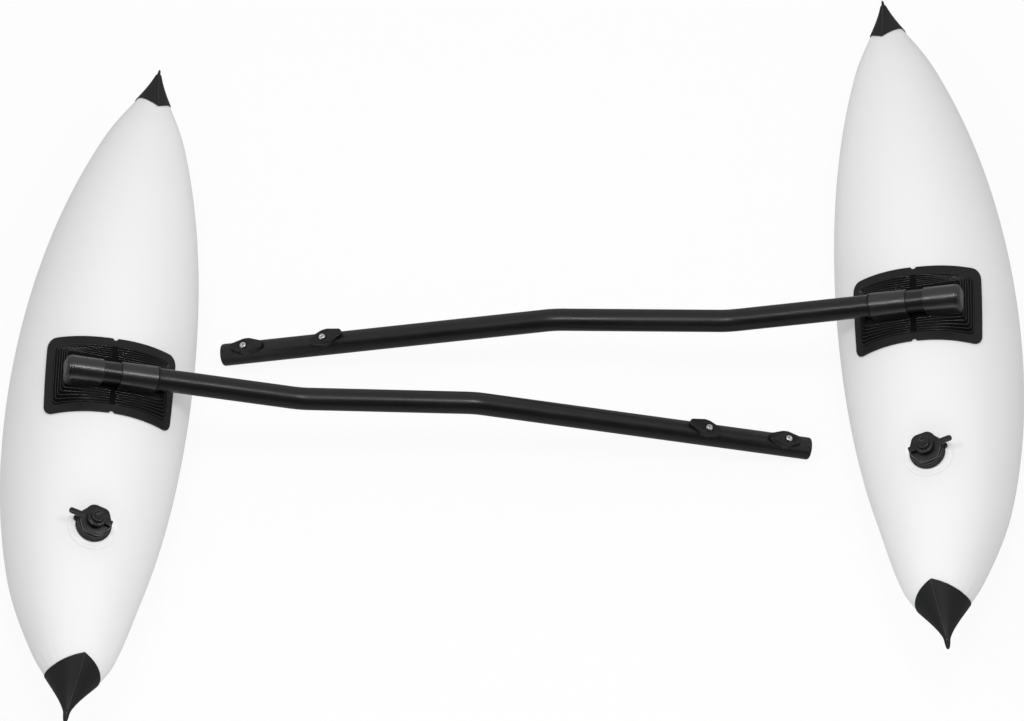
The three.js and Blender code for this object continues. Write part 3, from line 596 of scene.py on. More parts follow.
@cache
def hull_tree():
    """A skin of rows and columns on the hull's surface, with small folds beside the tip caps."""
    tree, given, known = new_tree("Inflated hull", {
        "Int": ["Rows", "Columns"],
        "Float": [
            "Radius", "Half length", "Tip rise", "Crown turn", "Taper", "Fullness", "Bow draw", "Stern draw",
            "Stern sweep", "Pucker", "Cap edge",
        ],
        "Material": ["Film"],
    })
    times, plus, minus = (partial(maths, tree, kind) for kind in ("MULTIPLY", "ADD", "SUBTRACT"))
    sine, cosine, size_of = (partial(maths, tree, kind) for kind in ("SINE", "COSINE", "ABSOLUTE"))
    at_least = partial(maths, tree, "MAXIMUM")
    grid = put(
        tree, "GeometryNodeMeshGrid",
        Size_X=1.0, Size_Y=1.0, Vertices_X=given["Rows"], Vertices_Y=given["Columns"],
    )
    split = put(tree, "ShaderNodeSeparateXYZ", Vector=grid.outputs["UV Map"])
    t = sine(times(minus(split.outputs["X"], 0.5), math.pi))
    turn = times(split.outputs["Y"], TURN)
    squared = times(t, t)
    taper = maths(tree, "POWER", at_least(minus(1.0, squared), 0.0), given["Taper"])
    swell = plus(times(squared, given["Fullness"]), 1.0)
    draw = mixed(tree, maths(tree, "GREATER_THAN", t, 0.0), given["Stern draw"], given["Bow draw"])
    near_tip = span(tree, size_of(t), DRAW_START, 1.0)
    drawn = at_least(minus(1.0, times(maths(tree, "POWER", near_tip, 2.0), draw)), DRAW_FLOOR)
    girth = times(taper, swell, given["Radius"], drawn)
    # Folds run along the hull, die out away from the caps and are uneven round it.
    fade, along_hull, fineness, flat_part, gain = 9.0, 0.7, 5.5, 0.55, 4.0
    distance = size_of(minus(size_of(t), given["Cap edge"]))
    near = at_least(minus(1.0, times(distance, fade)), 0.0)
    where = put(tree, "ShaderNodeCombineXYZ", X=sine(turn), Y=cosine(turn), Z=times(t, along_hull))
    uneven = put(tree, "ShaderNodeTexNoise", Vector=where.outputs[0], Scale=fineness, Detail=2.0)
    fold = times(minus(uneven.outputs[0], flat_part), times(near, near), given["Pucker"], gain)
    radius = plus(girth, maths(tree, "MINIMUM", fold, 0.0))
    lift = times(squared, given["Tip rise"])
    astern = times(t, -1.0)
    out = span(tree, astern, SWEEP_START, SWEEP_FULL, kind="SMOOTHSTEP")
    back = span(tree, astern, SWEEP_FULL, 1.0, 1.0, SWEEP_KEPT)
    sweep = times(out, back, given["Stern sweep"])
    place = put(
        tree, "ShaderNodeCombineXYZ",
        X=plus(sweep, times(lift, sine(given["Crown turn"])), times(radius, sine(turn))),
        Y=times(t, given["Half length"]),
        Z=plus(times(lift, cosine(given["Crown turn"])), times(radius, cosine(turn))),
    )
    laid = put(
        tree, "GeometryNodeStoreNamedAttribute", {"data_type": "FLOAT2", "domain": "CORNER"},
        Geometry=grid.outputs["Mesh"], Name="hull_map", Value=grid.outputs["UV Map"],
    )
    moved = put(tree, "GeometryNodeSetPosition", Geometry=laid.outputs[0], Position=place.outputs[0])
    merged = put(tree, "GeometryNodeMergeByDistance", Geometry=moved.outputs[0], Distance=1e-5)
    end_tree(tree, merged.outputs[0], given["Film"])
    return tree, known


@cache
def bead_tree():
    """A bead along each path: a profile that is as wide and as high as asked, on the path's own edges."""
    tree, given, known = new_tree("Bead along a path", {
        "Float": ["Width", "Height"], "Int": ["Sides"], "Bool": ["Closed ends"], "Material": ["Finish"],
    })
    path = put(tree, "GeometryNodeMeshToCurve", Mesh=given["Geometry"])
    up = put(tree, "GeometryNodeInputNamedAttribute", {"data_type": "FLOAT_VECTOR"}, Name="up")
    upright = put(
        tree, "GeometryNodeSetCurveNormal", {"mode": "FREE"}, Curve=path.outputs[0], Normal=up.outputs[0]
    )
    circle = put(tree, "GeometryNodeCurvePrimitiveCircle", Resolution=given["Sides"], Radius=0.5)
    stretch = put(tree, "ShaderNodeCombineXYZ", X=given["Height"], Y=given["Width"], Z=1.0)
    profile = put(
        tree, "GeometryNodeTransform", Geometry=circle.outputs["Curve"], Scale=stretch.outputs[0]
    )
    swept = put(
        tree, "GeometryNodeCurveToMesh",
        Curve=upright.outputs[0], Profile_Curve=profile.outputs[0], Fill_Caps=given["Closed ends"],
    )
    end_tree(tree, swept.outputs[0], given["Finish"])
    return tree, known


def path_object(name, paths):
    """Edges along each path of (point, up) pairs, with the up directions kept in an attribute."""
    mesh = bpy.data.meshes.new(name)
    points, ups, edges = [], [], []
    for path, looped in paths:
        first = len(points)
        for point, up in path:
            points.append(tuple(point))
            ups.append(up.normalized())
        edges += [(i, i + 1) for i in range(first, len(points) - 1)]
        if looped:
            edges.append((len(points) - 1, first))
    mesh.from_pydata(points, edges, [])
    up_values = mesh.attributes.new("up", "FLOAT_VECTOR", "POINT")
    up_values.data.foreach_set("vector", [c for up in ups for c in up])
    return shown(name, mesh)


def beaded(name, paths, width, height, sides, look, closed_ends=True):
    """A bead of that width and height along each path."""
    tree, known = bead_tree()
    return baked(path_object(name, paths), tree, known, {
        "Width": width, "Height": height, "Sides": sides, "Closed ends": closed_ends, "Finish": material(look),
    })


@cache
def set_tree():
    """A piece set at each point, turned about its own upright axis by the point's turn."""
    tree, given, known = new_tree("Piece at each place", {"Object": ["Piece"], "Material": ["Finish"]})
    piece = put(tree, "GeometryNodeObjectInfo", Object=given["Piece"])
    turn = put(tree, "GeometryNodeInputNamedAttribute", {"data_type": "FLOAT"}, Name="turn")
    angles = put(tree, "ShaderNodeCombineXYZ", Z=turn.outputs[0])
    rotation = put(tree, "FunctionNodeEulerToRotation", Euler=angles.outputs[0])
    placed = put(
        tree, "GeometryNodeInstanceOnPoints",
        Points=given["Geometry"], Instance=piece.outputs["Geometry"], Rotation=rotation.outputs[0],
    )
    end_tree(tree, placed.outputs[0], given["Finish"], smooth=False)
    return tree, known


def set_at(name, piece, spots, look):
    """The piece set at each (place, turn) pair."""
    mesh = bpy.data.meshes.new(name)
    mesh.from_pydata([place for place, turn in spots], [], [])
    turns = mesh.attributes.new("turn", "FLOAT", "POINT")
    turns.data.foreach_set("value", [turn for place, turn in spots])
    tree, known = set_tree()
    return baked(shown(name, mesh), tree, known, {"Piece": piece, "Finish": material(look)})


# Finishes


def new_group(name, inputs, outputs):
    """A shader group from numbers to numbers. Gives the tree, its given values and its results."""
    tree = bpy.data.node_groups.new(name, "ShaderNodeTree")
    add_sockets(tree, "INPUT", {"Float": inputs})
    add_sockets(tree, "OUTPUT", {"Float": outputs})
    return tree, tree.nodes.new("NodeGroupInput").outputs, tree.nodes.new("NodeGroupOutput").inputs


@cache
def grain_group():
    """Fine grain over broad unevenness, both on object coordinates."""
    tree, given, result = new_group("Grain", ["Fine scale", "Broad scale", "Broad share"], ["Height", "Mottle"])
    where = tree.nodes.new("ShaderNodeTexCoord").outputs["Object"]
    fine = put(tree, "ShaderNodeTexNoise", Vector=where, Scale=given["Fine scale"], Detail=3.0)
    broad = put(tree, "ShaderNodeTexNoise", Vector=where, Scale=given["Broad scale"], Detail=2.0)
    link(tree, result["Height"], mixed(tree, given["Broad share"], fine.outputs[0], broad.outputs[0]))
    link(tree, result["Mottle"], broad.outputs[0])
    return tree


@cache
def scuff_group():
    """Thin scratches and rubbed patches, as a mask."""
    tree, given, result = new_group("Scuffs", ["Scale", "Amount"], ["Mask"])
    where = tree.nodes.new("ShaderNodeTexCoord").outputs["Object"]
    warp = put(tree, "ShaderNodeTexNoise", Vector=where, Scale=given["Scale"], Detail=4.0)
    lines = put(
        tree, "ShaderNodeTexVoronoi", {"feature": "DISTANCE_TO_EDGE"}, Vector=warp.outputs["Color"], Scale=7.0
    )
    thin = span(tree, lines.outputs["Distance"], 0.0, 0.03, 1.0, 0.0)
    patches = put(tree, "ShaderNodeTexNoise", Vector=where, Scale=given["Scale"], Detail=1.0)
    kept = span(tree, patches.outputs[0], 0.5, 0.68)
    link(tree, result["Mask"], maths(tree, "MULTIPLY", thin, kept, given["Amount"]))
    return tree


def finish(
    name, base, roughness, specular, fine, broad, bump, mottle, scuff=0.0, depth=0.0002, rim=1.0, metallic=0.0
):
    """A moulded or coated finish: grain in the bump, mottle in colour and roughness, scuffs where asked, and painted
    shade on faces seen at a slant where rim is below 1.
    """
    spread, scuff_tone = 0.05, 0.06
    look = bpy.data.materials.new(name)
    look.use_nodes = True
    tree = look.node_tree
    shader = tree.nodes["Principled BSDF"]
    shader.inputs["Specular IOR Level"].default_value = specular
    shader.inputs["Metallic"].default_value = metallic
    grain = put(
        tree, "ShaderNodeGroup", {"node_tree": grain_group()},
        Fine_scale=fine, Broad_scale=broad, Broad_share=0.25,
    ).outputs
    low, high = ([c * (1 + way * mottle) for c in base] for way in (-1, 1))
    shade = mixed(tree, grain["Mottle"], (*low, 1), (*high, 1), colours=True)
    if scuff:
        marks = put(tree, "ShaderNodeGroup", {"node_tree": scuff_group()}, Scale=30.0, Amount=scuff)
        shade = mixed(tree, marks.outputs[0], shade, (scuff_tone, scuff_tone, scuff_tone, 1), colours=True)
    if rim < 1:
        # Painted shade: faces seen at a slant are darkened by the rim factor, so the hull's sides look shaded.
        slant = put(tree, "ShaderNodeLayerWeight", Blend=0.5).outputs["Facing"]
        painted_side_shade = span(tree, slant, 0.06, 0.36, 1.0, rim, kind="SMOOTHSTEP")
        scaled = put(tree, "ShaderNodeVectorMath", {"operation": "SCALE"}, Scale=painted_side_shade)
        link(tree, scaled.inputs[0], shade)
        shade = scaled.outputs[0]
    link(tree, shader.inputs["Base Color"], shade)
    rough = span(tree, grain["Mottle"], 0.25, 0.75, roughness - spread, roughness + spread)
    link(tree, shader.inputs["Roughness"], rough)
    relief = put(tree, "ShaderNodeBump", Strength=bump, Distance=depth, Height=grain["Height"])
    link(tree, shader.inputs["Normal"], relief.outputs[0])
    return look


@cache
def material(name):
    """The named finish, made once."""
    scene = bpy.context.scene
    film, cap_film = scene.outrigger_float.film, scene.outrigger_float.cap_film
    rubber, coat = scene.outrigger_pad.rubber, scene.outrigger_arm.coat
    # Base colour, roughness, specular level, fine and broad scale of the grain, bump, mottle, and scuffs if any
    rows = {
        "white_film": (film, 0.6, 0.15, 1100.0, 5.0, 0.12, 0.012),
        "cap_film": (cap_film, 0.55, 0.33, 1300.0, 14.0, 0.3, 0.12),
        # The seam ridge's base colour is 2.5 times the cap's: a painted highlight where the ridge catches light.
        "cap_seam": ([c * 2.5 for c in cap_film], 0.4, 0.5, 1300.0, 14.0, 0.2, 0.12),
        "pad_rubber": (rubber, 0.38, 0.4, 1500.0, 22.0, 0.25, 0.25, 0.25),
        # The ribs' base colour is twice the pad's: a painted highlight on the rib crowns.
        "rib_rubber": ([c * 2 for c in rubber], 0.24, 1.0, 900.0, 60.0, 0.5, 0.25),
        # The floor between the ribs is half the pad's colour: painted shade in the grooves between the ribs.
        "floor_rubber": ([c / 2 for c in rubber], 0.5, 0.1, 1500.0, 22.0, 0.3, 0.25),
        "sleeve_rubber": (rubber, 0.32, 1.0, 1500.0, 22.0, 0.15, 0.25, 0.1),
        "arm_coat": (coat, 0.32, 0.55, 1500.0, 16.0, 0.1, 0.15, 0.1),
        "black_plastic": ((0.003, 0.003, 0.0033), 0.3, 0.5, 1800.0, 30.0, 0.3, 0.15, 0.15),
        "clear_film": ((0.86, 0.865, 0.86), 0.35, 0.5, 1200.0, 20.0, 0.1, 0.02),
        "bright_steel": ((0.66, 0.66, 0.65), 0.26, 0.5, 2400.0, 60.0, 0.2, 0.05),
        "seal_rubber": ((0.010, 0.010, 0.011), 0.55, 0.25, 1500.0, 40.0, 0.3, 0.15),
    }
    # The white film's rim below 1 paints shade on the hull's sides, where they are seen at a slant.
    special = {"white_film": {"depth": 0.0003, "rim": 0.96}, "bright_steel": {"metallic": 1.0}}
    return finish(name, *rows[name], **special.get(name, {}))


# Pieces


class OUTRIGGER_OT_stage(bpy.types.Operator):
    """Makes the camera, the soft lights and the pale floor"""

    bl_idname = "outrigger.stage"
    bl_label = "Stage"

    def execute(self, context):
        stage = context.scene.outrigger_stage
        scene = context.scene
        scene.view_settings.view_transform = "Standard"
        camera_data = bpy.data.cameras.new("camera")
        camera_data.sensor_width = 36.0
        camera_data.lens = stage.lens
        camera_data.clip_end = 50.0
        camera = bpy.data.objects.new("camera", camera_data)
        camera.location = stage.camera
        camera.rotation_euler = (math.pi / 2 - stage.tilt, 0, 0)
        scene.collection.objects.link(camera)
        scene.camera = camera

        for name, watts, size, where, aim, mirrored in (
            ("left_key_lamp", stage.key / 2, 0.34, (-0.58, -0.56, 2.3), (-0.58, 0, 0), True),
            ("right_key_lamp", stage.key / 2, 0.34, (0.58, -0.46, 2.3), (0.58, 0.1, 0), True),
            ("top_lamp", stage.top, 2.4, (0, 0.3, 2.6), (0, 0, 0), False),
            ("fill_lamp", stage.fill, 1.8, (0, -2.4, 1.6), (0, 0, 0.1), False),
        ):
            data = bpy.data.lights.new(name, "AREA")
            data.energy = watts
            data.shape = "SQUARE"
            data.size = size
            lamp = bpy.data.objects.new(name, data)
            lamp.location = where
            lamp.rotation_euler = (Vector(aim) - Vector(where)).to_track_quat("-Z", "Y").to_euler()
            lamp.visible_glossy = mirrored
            scene.collection.objects.link(lamp)

        scene.world = bpy.data.worlds.new("surroundings")
        scene.world.use_nodes = True
        tree = scene.world.node_tree
        tree.nodes.clear()
        rays = tree.nodes.new("ShaderNodeLightPath").outputs
        seen = maths(tree, "MINIMUM", maths(tree, "ADD", rays["Is Camera Ray"], rays["Is Transmission Ray"]), 1.0)
        # In reflections the viewer's side of the room is dark.
        dark_to, bright_from = -0.48, -0.22
        way = put(tree, "ShaderNodeSeparateXYZ", Vector=tree.nodes.new("ShaderNodeTexCoord").outputs["Generated"])
        sides = span(
            tree, way.outputs["Y"], dark_to, bright_from, stage.dark_side, stage.bright_side, kind="SMOOTHSTEP"
        )
        room = mixed(tree, rays["Is Glossy Ray"], stage.sky, sides)
        back = put(tree, "ShaderNodeBackground", Color=(1, 1, 1, 1), Strength=mixed(tree, seen, room, 1.0))
        put(tree, "ShaderNodeOutputWorld", Surface=back.outputs[0])

        half, drop, glow_share = 6.0, 0.0005, 0.9
        corners = [(-half, -half, 0), (half, -half, 0), (half, half, 0), (-half, half, 0)]
        floor = solid("floor", corners, [(0, 1, 2, 3)], Matrix.Translation((0, 0, cad_box[0][2] - drop)))
        surface = bpy.data.materials.new("pale_floor")
        surface.use_nodes = True
        tree = surface.node_tree
        shader = tree.nodes["Principled BSDF"]
        shader.inputs["Base Color"].default_value = (*stage.floor, 1)
        shader.inputs["Roughness"].default_value = 0.9
        shader.inputs["Specular IOR Level"].default_value = 0.0
        rays = tree.nodes.new("ShaderNodeLightPath").outputs
        strength = span(tree, rays["Is Glossy Ray"], 0.0, 1.0, 1.0, stage.floor_mirrored)
        glow = put(tree, "ShaderNodeEmission", Color=(1, 1, 1, 1), Strength=strength)
        seen = maths(tree, "MAXIMUM", *(rays[f"Is {kind} Ray"] for kind in ("Glossy", "Transmission", "Camera")))
        blend = put(tree, "ShaderNodeMixShader", Fac=maths(tree, "MULTIPLY", seen, glow_share))
        link(tree, blend.inputs[1], shader.outputs[0])
        link(tree, blend.inputs[2], glow.outputs[0])
        link(tree, tree.nodes["Material Output"].inputs["Surface"], blend.outputs[0])
        floor.data.materials.append(surface)
        return {"FINISHED"}


class OUTRIGGER_OT_floats(bpy.types.Operator):
    """Makes the two inflated hulls"""

    bl_idname = "outrigger.floats"
    bl_label = "Floats"

    def execute(self, context):
        sizes = context.scene.outrigger_float
        tree, known = hull_tree()
        values = {label: getattr(sizes, label.lower().replace(" ", "_")) for label in (
            "Rows", "Columns", "Tip rise", "Crown turn", "Taper", "Fullness", "Bow draw", "Stern draw",
            "Stern sweep", "Pucker",
        )}
        values |= {
            "Radius": sizes.diameter / 2,
            "Half length": sizes.length / 2,
            "Cap edge": 1 - (sizes.bow_cap + sizes.stern_cap) / sizes.length,
            "Film": material("white_film"),
        }
        for side in SIDES:
            hull = baked(solid(side + "_float_skin", [(0, 0, 0)], []), tree, known, values)
            seated(hull, standing(side), side + "_float", "hull_film", side + "_float_hull")
        return {"FINISHED"}


def cap_skin(sizes, hull, end):
    """Rings of a tip cap, from its inside at the tip to its edge and over its outside to the end of the weld tail,
    and its two closing points."""
    columns, rows = 96, 28
    tail_length = sizes.bow_tail if end > 0 else sizes.stern_tail
    last = 1 - tail_length / hull.half
    reach_in = sizes.bow_cap if end > 0 else sizes.stern_cap

    def edge(turn):
        return 1 - (reach_in - sizes.cap_recess * abs(math.sin(turn - sizes.crown_turn))) / hull.half

    turns = [sizes.crown_turn + turn for turn in round_turn(columns)]

    def row(step, offset):
        return [hull.point(end * (edge(turn) + (last - edge(turn)) * step), turn, offset) for turn in turns]

    gap, wall = sizes.cap_gap, sizes.cap_thickness
    inner = [row(1 - i / 6, gap) for i in range(7)]
    rim = [row(0.0, gap + wall * 0.35), row(0.004, gap + wall * 0.85)]
    outer = [row(0.012 + 0.988 * (i / (rows - 1)) ** 1.1, gap + wall) for i in range(rows)]
    crown = Vector((math.sin(sizes.crown_turn), 0, math.cos(sizes.crown_turn)))
    across = Vector((math.cos(sizes.crown_turn), 0, -math.sin(sizes.crown_turn)))

    def tail(step, width, thickness):
        middle = hull.middle(end * (last + (1 - last) * step))
        return [
            middle + crown * math.cos(turn) * thickness / 2 + across * math.sin(turn) * width / 2
            for turn in round_turn(columns)
        ]

    root = 2 * (hull.girth(end * last) + gap + wall)
    width, thickness = sizes.tail_width if end < 0 else sizes.tail_width / 2, sizes.tail_thickness
    ends = [
        tail(0.1, (root + width) / 2, (root + thickness * 2) / 2),
        tail(0.25, width, thickness * 1.5),
        tail(0.55, width * 0.86, thickness * 1.1),
        tail(0.8, width * 0.66, thickness),
        tail(0.93, width * 0.45, thickness * 0.85),
        tail(0.985, width * 0.22, thickness * 0.5),
    ]
    poles = (hull.middle(end * last), hull.middle(end))
    return [*inner, *rim, *outer, *ends], poles


class OUTRIGGER_OT_caps(bpy.types.Operator):
    """Makes the four welded tip caps with their seam ridges"""

    bl_idname = "outrigger.tip_caps"
    bl_label = "Tip caps"

    def execute(self, context):
        sizes = context.scene.outrigger_float
        hull = Hull(sizes)
        over = sizes.cap_gap + sizes.cap_thickness
        steps, share_of_cap, lead = 24, 0.93, 0.002
        for side in SIDES:
            for place, end, reach_in in (("bow", 1, sizes.bow_cap), ("stern", -1, sizes.stern_cap)):
                rings, poles = cap_skin(sizes, hull, end)
                cap = coated(solid("tip", *skin(rings, caps=poles), crease=60), material("cap_film"))
                lines = []
                for turn in (sizes.crown_turn, sizes.crown_turn + math.pi):
                    up = Vector((math.sin(turn), 0, math.cos(turn)))
                    places = [
                        1 - reach_in / hull.half * (1 - i / steps * share_of_cap) + lead for i in range(steps + 1)
                    ]
                    lines.append(([(hull.point(end * t, turn, over), up) for t in places], False))
                # The seam ridges carry a painted highlight in their lighter base colour.
                seam = beaded("seam", lines, sizes.seam, sizes.seam, 10, "cap_seam")
                whole = joined(side + "_" + place + "_tip_cap", [cap, seam])
                seated(whole, standing(side), side + "_float", "tip_film", side + "_" + place + "_cap")
        return {"FINISHED"}


# Sleeve pad


def plateau_height(pad):
    """Height of the pad's flat top above its underside, at the crown."""
    return pad.thickness + pad.ribs * pad.rib_step


def sleeve_axis(pad, arm, hull):
    """Height of the tube's axis in its sleeve."""
    return hull.radius + pad.gap + plateau_height(pad) + arm.clearance + arm.diameter / 2


def pad_point(pad, arm, hull, across, along, height, climb=0.0):
    """A point on the pad, by its place on the laid-out sheet, its height above the underside and its climb from
    the hull's own curve, at 0, to the flat top, at 1."""
    curve = 1.3  # the flare grows faster than its distance from the middle
    flare = pad.flare * max(-2 * across / pad.width, 0) ** curve * max(2 * along / pad.length, 0)
    place = Matrix.Rotation(pad.turn, 3, "Z") @ Vector((pad.shift + across, pad.ahead + along + flare, 0))
    t, around = (arm.place + place.y) / hull.half, place.x / hull.radius
    point = hull.point(t, around, pad.gap + height)
    top = hull.radius + pad.gap + plateau_height(pad)
    point.z += climb * (top - hull.point(t, around, pad.gap + plateau_height(pad)).z)
    return point


def pad_outline(pad, inset_round, inset_along, notched=False):
    """One rounded rectangle of the sheet, as (across, along) pairs, with columns on both edges of the slot."""
    half_width = pad.width / 2 - inset_round
    half_length = pad.length / 2 - inset_along
    corner = max(pad.corner - inset_round / 2, pad.corner / 3)
    corner_steps, side_steps, end_steps = 7, 26, 16
    slot, lip, notch_depth = pad.slot / 2, 0.0002, 0.9
    quarter = [(half_width, (half_length - corner) * i / end_steps) for i in range(end_steps)]
    for turn in quarter_turn(corner_steps)[:-1]:
        quarter.append((half_width - corner + corner * math.cos(turn), half_length - corner + corner * math.sin(turn)))
    for i in range(side_steps + 1):
        s = i / side_steps
        quarter.append(((half_width - corner) * (1 - s) + (slot + lip) * s, half_length))
    for s in (slot, slot * 0.85, slot * 0.6, slot * 0.3, 0.0):
        dip = math.sqrt(max(pad.notch ** 2 - s * s, 0.0)) * notch_depth if notched else 0.0
        quarter.append((s, half_length - dip))
    upper = quarter + [(-x, y) for x, y in reversed(quarter[:-1])]
    lower = [(x, -y) for x, y in reversed(upper)][1:-1]
    return upper + lower


def pad_sheet(pad, arm, hull):
    """The sheet in two parts: underside, rim and border band, then the terraces that the ribs stand on."""
    slot = pad.slot / 2 + 0.0001

    def ring(inset, height, climb=0.0, notched=False, round_inset=None):
        made = []
        for x, y in pad_outline(pad, inset if round_inset is None else round_inset, inset, notched):
            if abs(x) < slot:
                made.append(pad_point(pad, arm, hull, x, y, pad.thickness if climb else height))
            else:
                made.append(pad_point(pad, arm, hull, x, y, height, climb))
        return made

    edge = pad.edge
    rings = [ring(inset, 0) for inset in (0.03, 0.012, 0.004)] + [ring(edge * 0.4, 0, notched=True)]
    for turn in quarter_turn(4):
        rings.append(ring(edge * (1 - math.cos(turn)), pad.thickness - edge + edge * math.sin(turn), notched=True))
    rings.append(ring(edge * 2.5, pad.thickness, notched=True))
    rings += [ring(inset, pad.thickness) for inset in (pad.border * 0.5, pad.border - 0.0012)]
    for rib in range(pad.ribs + 1):
        rings.append(ring(
            pad.border + rib * pad.rib_pitch_along,
            pad.thickness + rib * pad.rib_step,
            rib / pad.ribs,
            round_inset=pad.border + rib * pad.rib_pitch_round,
        ))
    width = len(rings[0])

    def closing(base, flip):
        # The outline starts at the middle of one short end, so its mirror is the same count the other way round.
        made = []
        for i in range(width // 2):
            corners = (i, i + 1, (width - i - 1) % width, (width - i) % width)
            face = tuple(dict.fromkeys(base + corner for corner in corners))
            if len(face) > 2:
                made.append(tuple(reversed(face)) if flip else face)
        return made

    terraces = len(rings) - pad.ribs - 1
    made = []
    # The terraces between the ribs get a darker rubber, which is painted shade in the grooves.
    for name, some, base, flip, look in (
        ("border", rings[:terraces + 1], 0, True, "pad_rubber"),
        ("terraces", rings[terraces:], pad.ribs * width, False, "floor_rubber"),
    ):
        points, faces = skin(some)
        made.append(coated(solid(name, points, faces + closing(base, flip), crease=50), material(look)))
    return made


def rib_paths(pad, arm, hull):
    """Each rib is parted by the slot into an outboard and an inboard half loop."""
    paths = []
    for rib in range(pad.ribs):
        mid = rib + 0.45  # where the rib stands, counted in terraces
        outline = pad_outline(pad, pad.border + mid * pad.rib_pitch_round, pad.border + mid * pad.rib_pitch_along)
        floor = pad.thickness + mid * pad.rib_step
        for sign in (1, -1):
            kept = [(x, y) for x, y in outline if sign * x > pad.slot / 2 + 0.0001]
            kept.sort(key=lambda p: math.atan2(p[1] / pad.length, sign * p[0] / pad.width))
            path = []
            for x, y in kept:
                here = pad_point(pad, arm, hull, x, y, floor, mid / pad.ribs)
                path.append((here, pad_point(pad, arm, hull, x, y, floor + 0.01, mid / pad.ribs) - here))
            paths.append((path, False))
    return paths


def barrel(pad, arm, hull, back, front, blind):
    """One sleeve barrel in the arm's frame: round on top, straight down its sides, closed at the blind end."""
    bore = arm.diameter / 2 + arm.clearance
    outer = bore + pad.wall
    axis = sleeve_axis(pad, arm, hull)
    foot = -bore - 0.003  # sunk into the pad
    half = [(0.0, foot), (outer * 0.6, foot), (outer, foot), (outer, foot / 2)]
    half += [(outer * math.cos(a), outer * math.sin(a)) for a in quarter_turn(22)]
    section = half + [(-y, z) for y, z in reversed(half[1:-1])]
    inner = [polar(bore, math.atan2(z, y)).to_2d() for y, z in section]

    def ring(x, outline, inset=0.0):
        return [Vector((x, y * (1 - inset / outer), axis + z * (1 - inset / outer))) for y, z in outline]

    soft_edge, beside = 0.0006, 0.0008
    round_back = pad.round if blind else soft_edge
    quarter = quarter_turn(6)
    rings = [ring(back + round_back * (1 - math.cos(a)), section, round_back * (1 - math.sin(a))) for a in quarter]
    # A ring beside each rounding keeps the shading of the long sides straight.
    rings += [ring(x, section) for x in (back + round_back + beside, front - soft_edge - beside)]
    rings += [ring(front - soft_edge * (1 - math.sin(a)), section, soft_edge * (1 - math.cos(a))) for a in quarter]
    if blind:
        rings += [ring(front, inner), ring(back + pad.end_wall, inner)]
        return skin(rings, caps=(Vector((back, 0, axis)), Vector((back + pad.end_wall, 0, axis))))
    return skin(rings + [ring(front, inner), ring(back, inner)], closed=True)


class OUTRIGGER_OT_pads(bpy.types.Operator):
    """Makes the two rubber pads with their nested ribs and sleeve barrels"""

    bl_idname = "outrigger.sleeve_pads"
    bl_label = "Sleeve pads"

    def execute(self, context):
        pad = context.scene.outrigger_pad
        arm = context.scene.outrigger_arm
        hull = Hull(context.scene.outrigger_float)
        middle, half, gap = pad.sleeve_shift, pad.sleeve_length / 2, pad.window / 2
        for side in SIDES:
            parts = pad_sheet(pad, arm, hull)
            for start, stop, blind in ((middle - half, middle - gap, True), (middle + gap, middle + half, False)):
                points, faces = barrel(pad, arm, hull, start, stop, blind)
                tunnel = solid("barrel", points, faces, arm_frame(arm), crease=50)
                parts.append(coated(tunnel, material("sleeve_rubber")))
            # The ribs carry a painted highlight in their lighter base colour.
            ribs = beaded("ribs", rib_paths(pad, arm, hull), pad.rib_width, pad.rib_height * 2, 10, "rib_rubber")
            whole = joined(side + "_ribbed_pad", [*parts, ribs])
            seated(whole, standing(side), side + "_float", "pad_rubber", side + "_sleeve_pad")
        return {"FINISHED"}


# Arm


def arm_frame(arm):
    """The arm's own frame on the float: X along the tube, Y across it towards the bow."""
    return Matrix.Translation((0, arm.place, 0)) @ Matrix.Rotation(arm.turn, 4, "Z")


def arm_axis(pad, arm, hull):
    """Points (x, z) along the arm's axis, from its blind end to its deck end."""
    low = sleeve_axis(pad, arm, hull)
    back = pad.sleeve_shift - pad.sleeve_length / 2 + pad.end_wall + arm.clearance * 2 + arm.plug_flange
    high = low + arm.middle_run * math.tan(arm.bend)
    radius, reach = arm.bend_radius, arm.bend_radius * math.tan(arm.bend / 2)
    first, second = back + arm.outer_run, back + arm.outer_run + arm.middle_run
    deck = second + arm.inner_run
    steps, beside = 14, 0.001
    bends = [
        (radius * math.sin(pitch), radius * (1 - math.cos(pitch)))
        for pitch in [arm.bend * i / steps for i in range(steps + 1)]
    ]
    # A point beside each end keeps the rim's shading off the long runs.
    points = [(back, low), (back + beside, low)]
    points += [(first - reach + along, low + rise) for along, rise in bends]
    points += [(second + reach - along, high - rise) for along, rise in reversed(bends)]
    return points + [(deck - beside, high), (deck, high)]


def end_plug(name, arm):
    """A plug about Z: a dished flange outside, at z above 0, and a hollow barrel that goes into the tube."""
    barrel_radius = arm.diameter / 2 - arm.wall - arm.clearance
    flange = arm.diameter / 2 - 0.0006
    face, dish, depth = arm.plug_flange + arm.clearance, 0.0005, 0.020
    profile = soft([
        (0.0, face - dish), (flange * 0.62, face - dish), (flange * 0.68, face), (flange, face),
        (flange, arm.clearance), (barrel_radius, arm.clearance), (barrel_radius, -depth),
        (barrel_radius - arm.wall, -depth), (barrel_radius - arm.wall, arm.clearance), (0.0, arm.clearance),
    ], 0.0007)
    return lathe(name, profile)


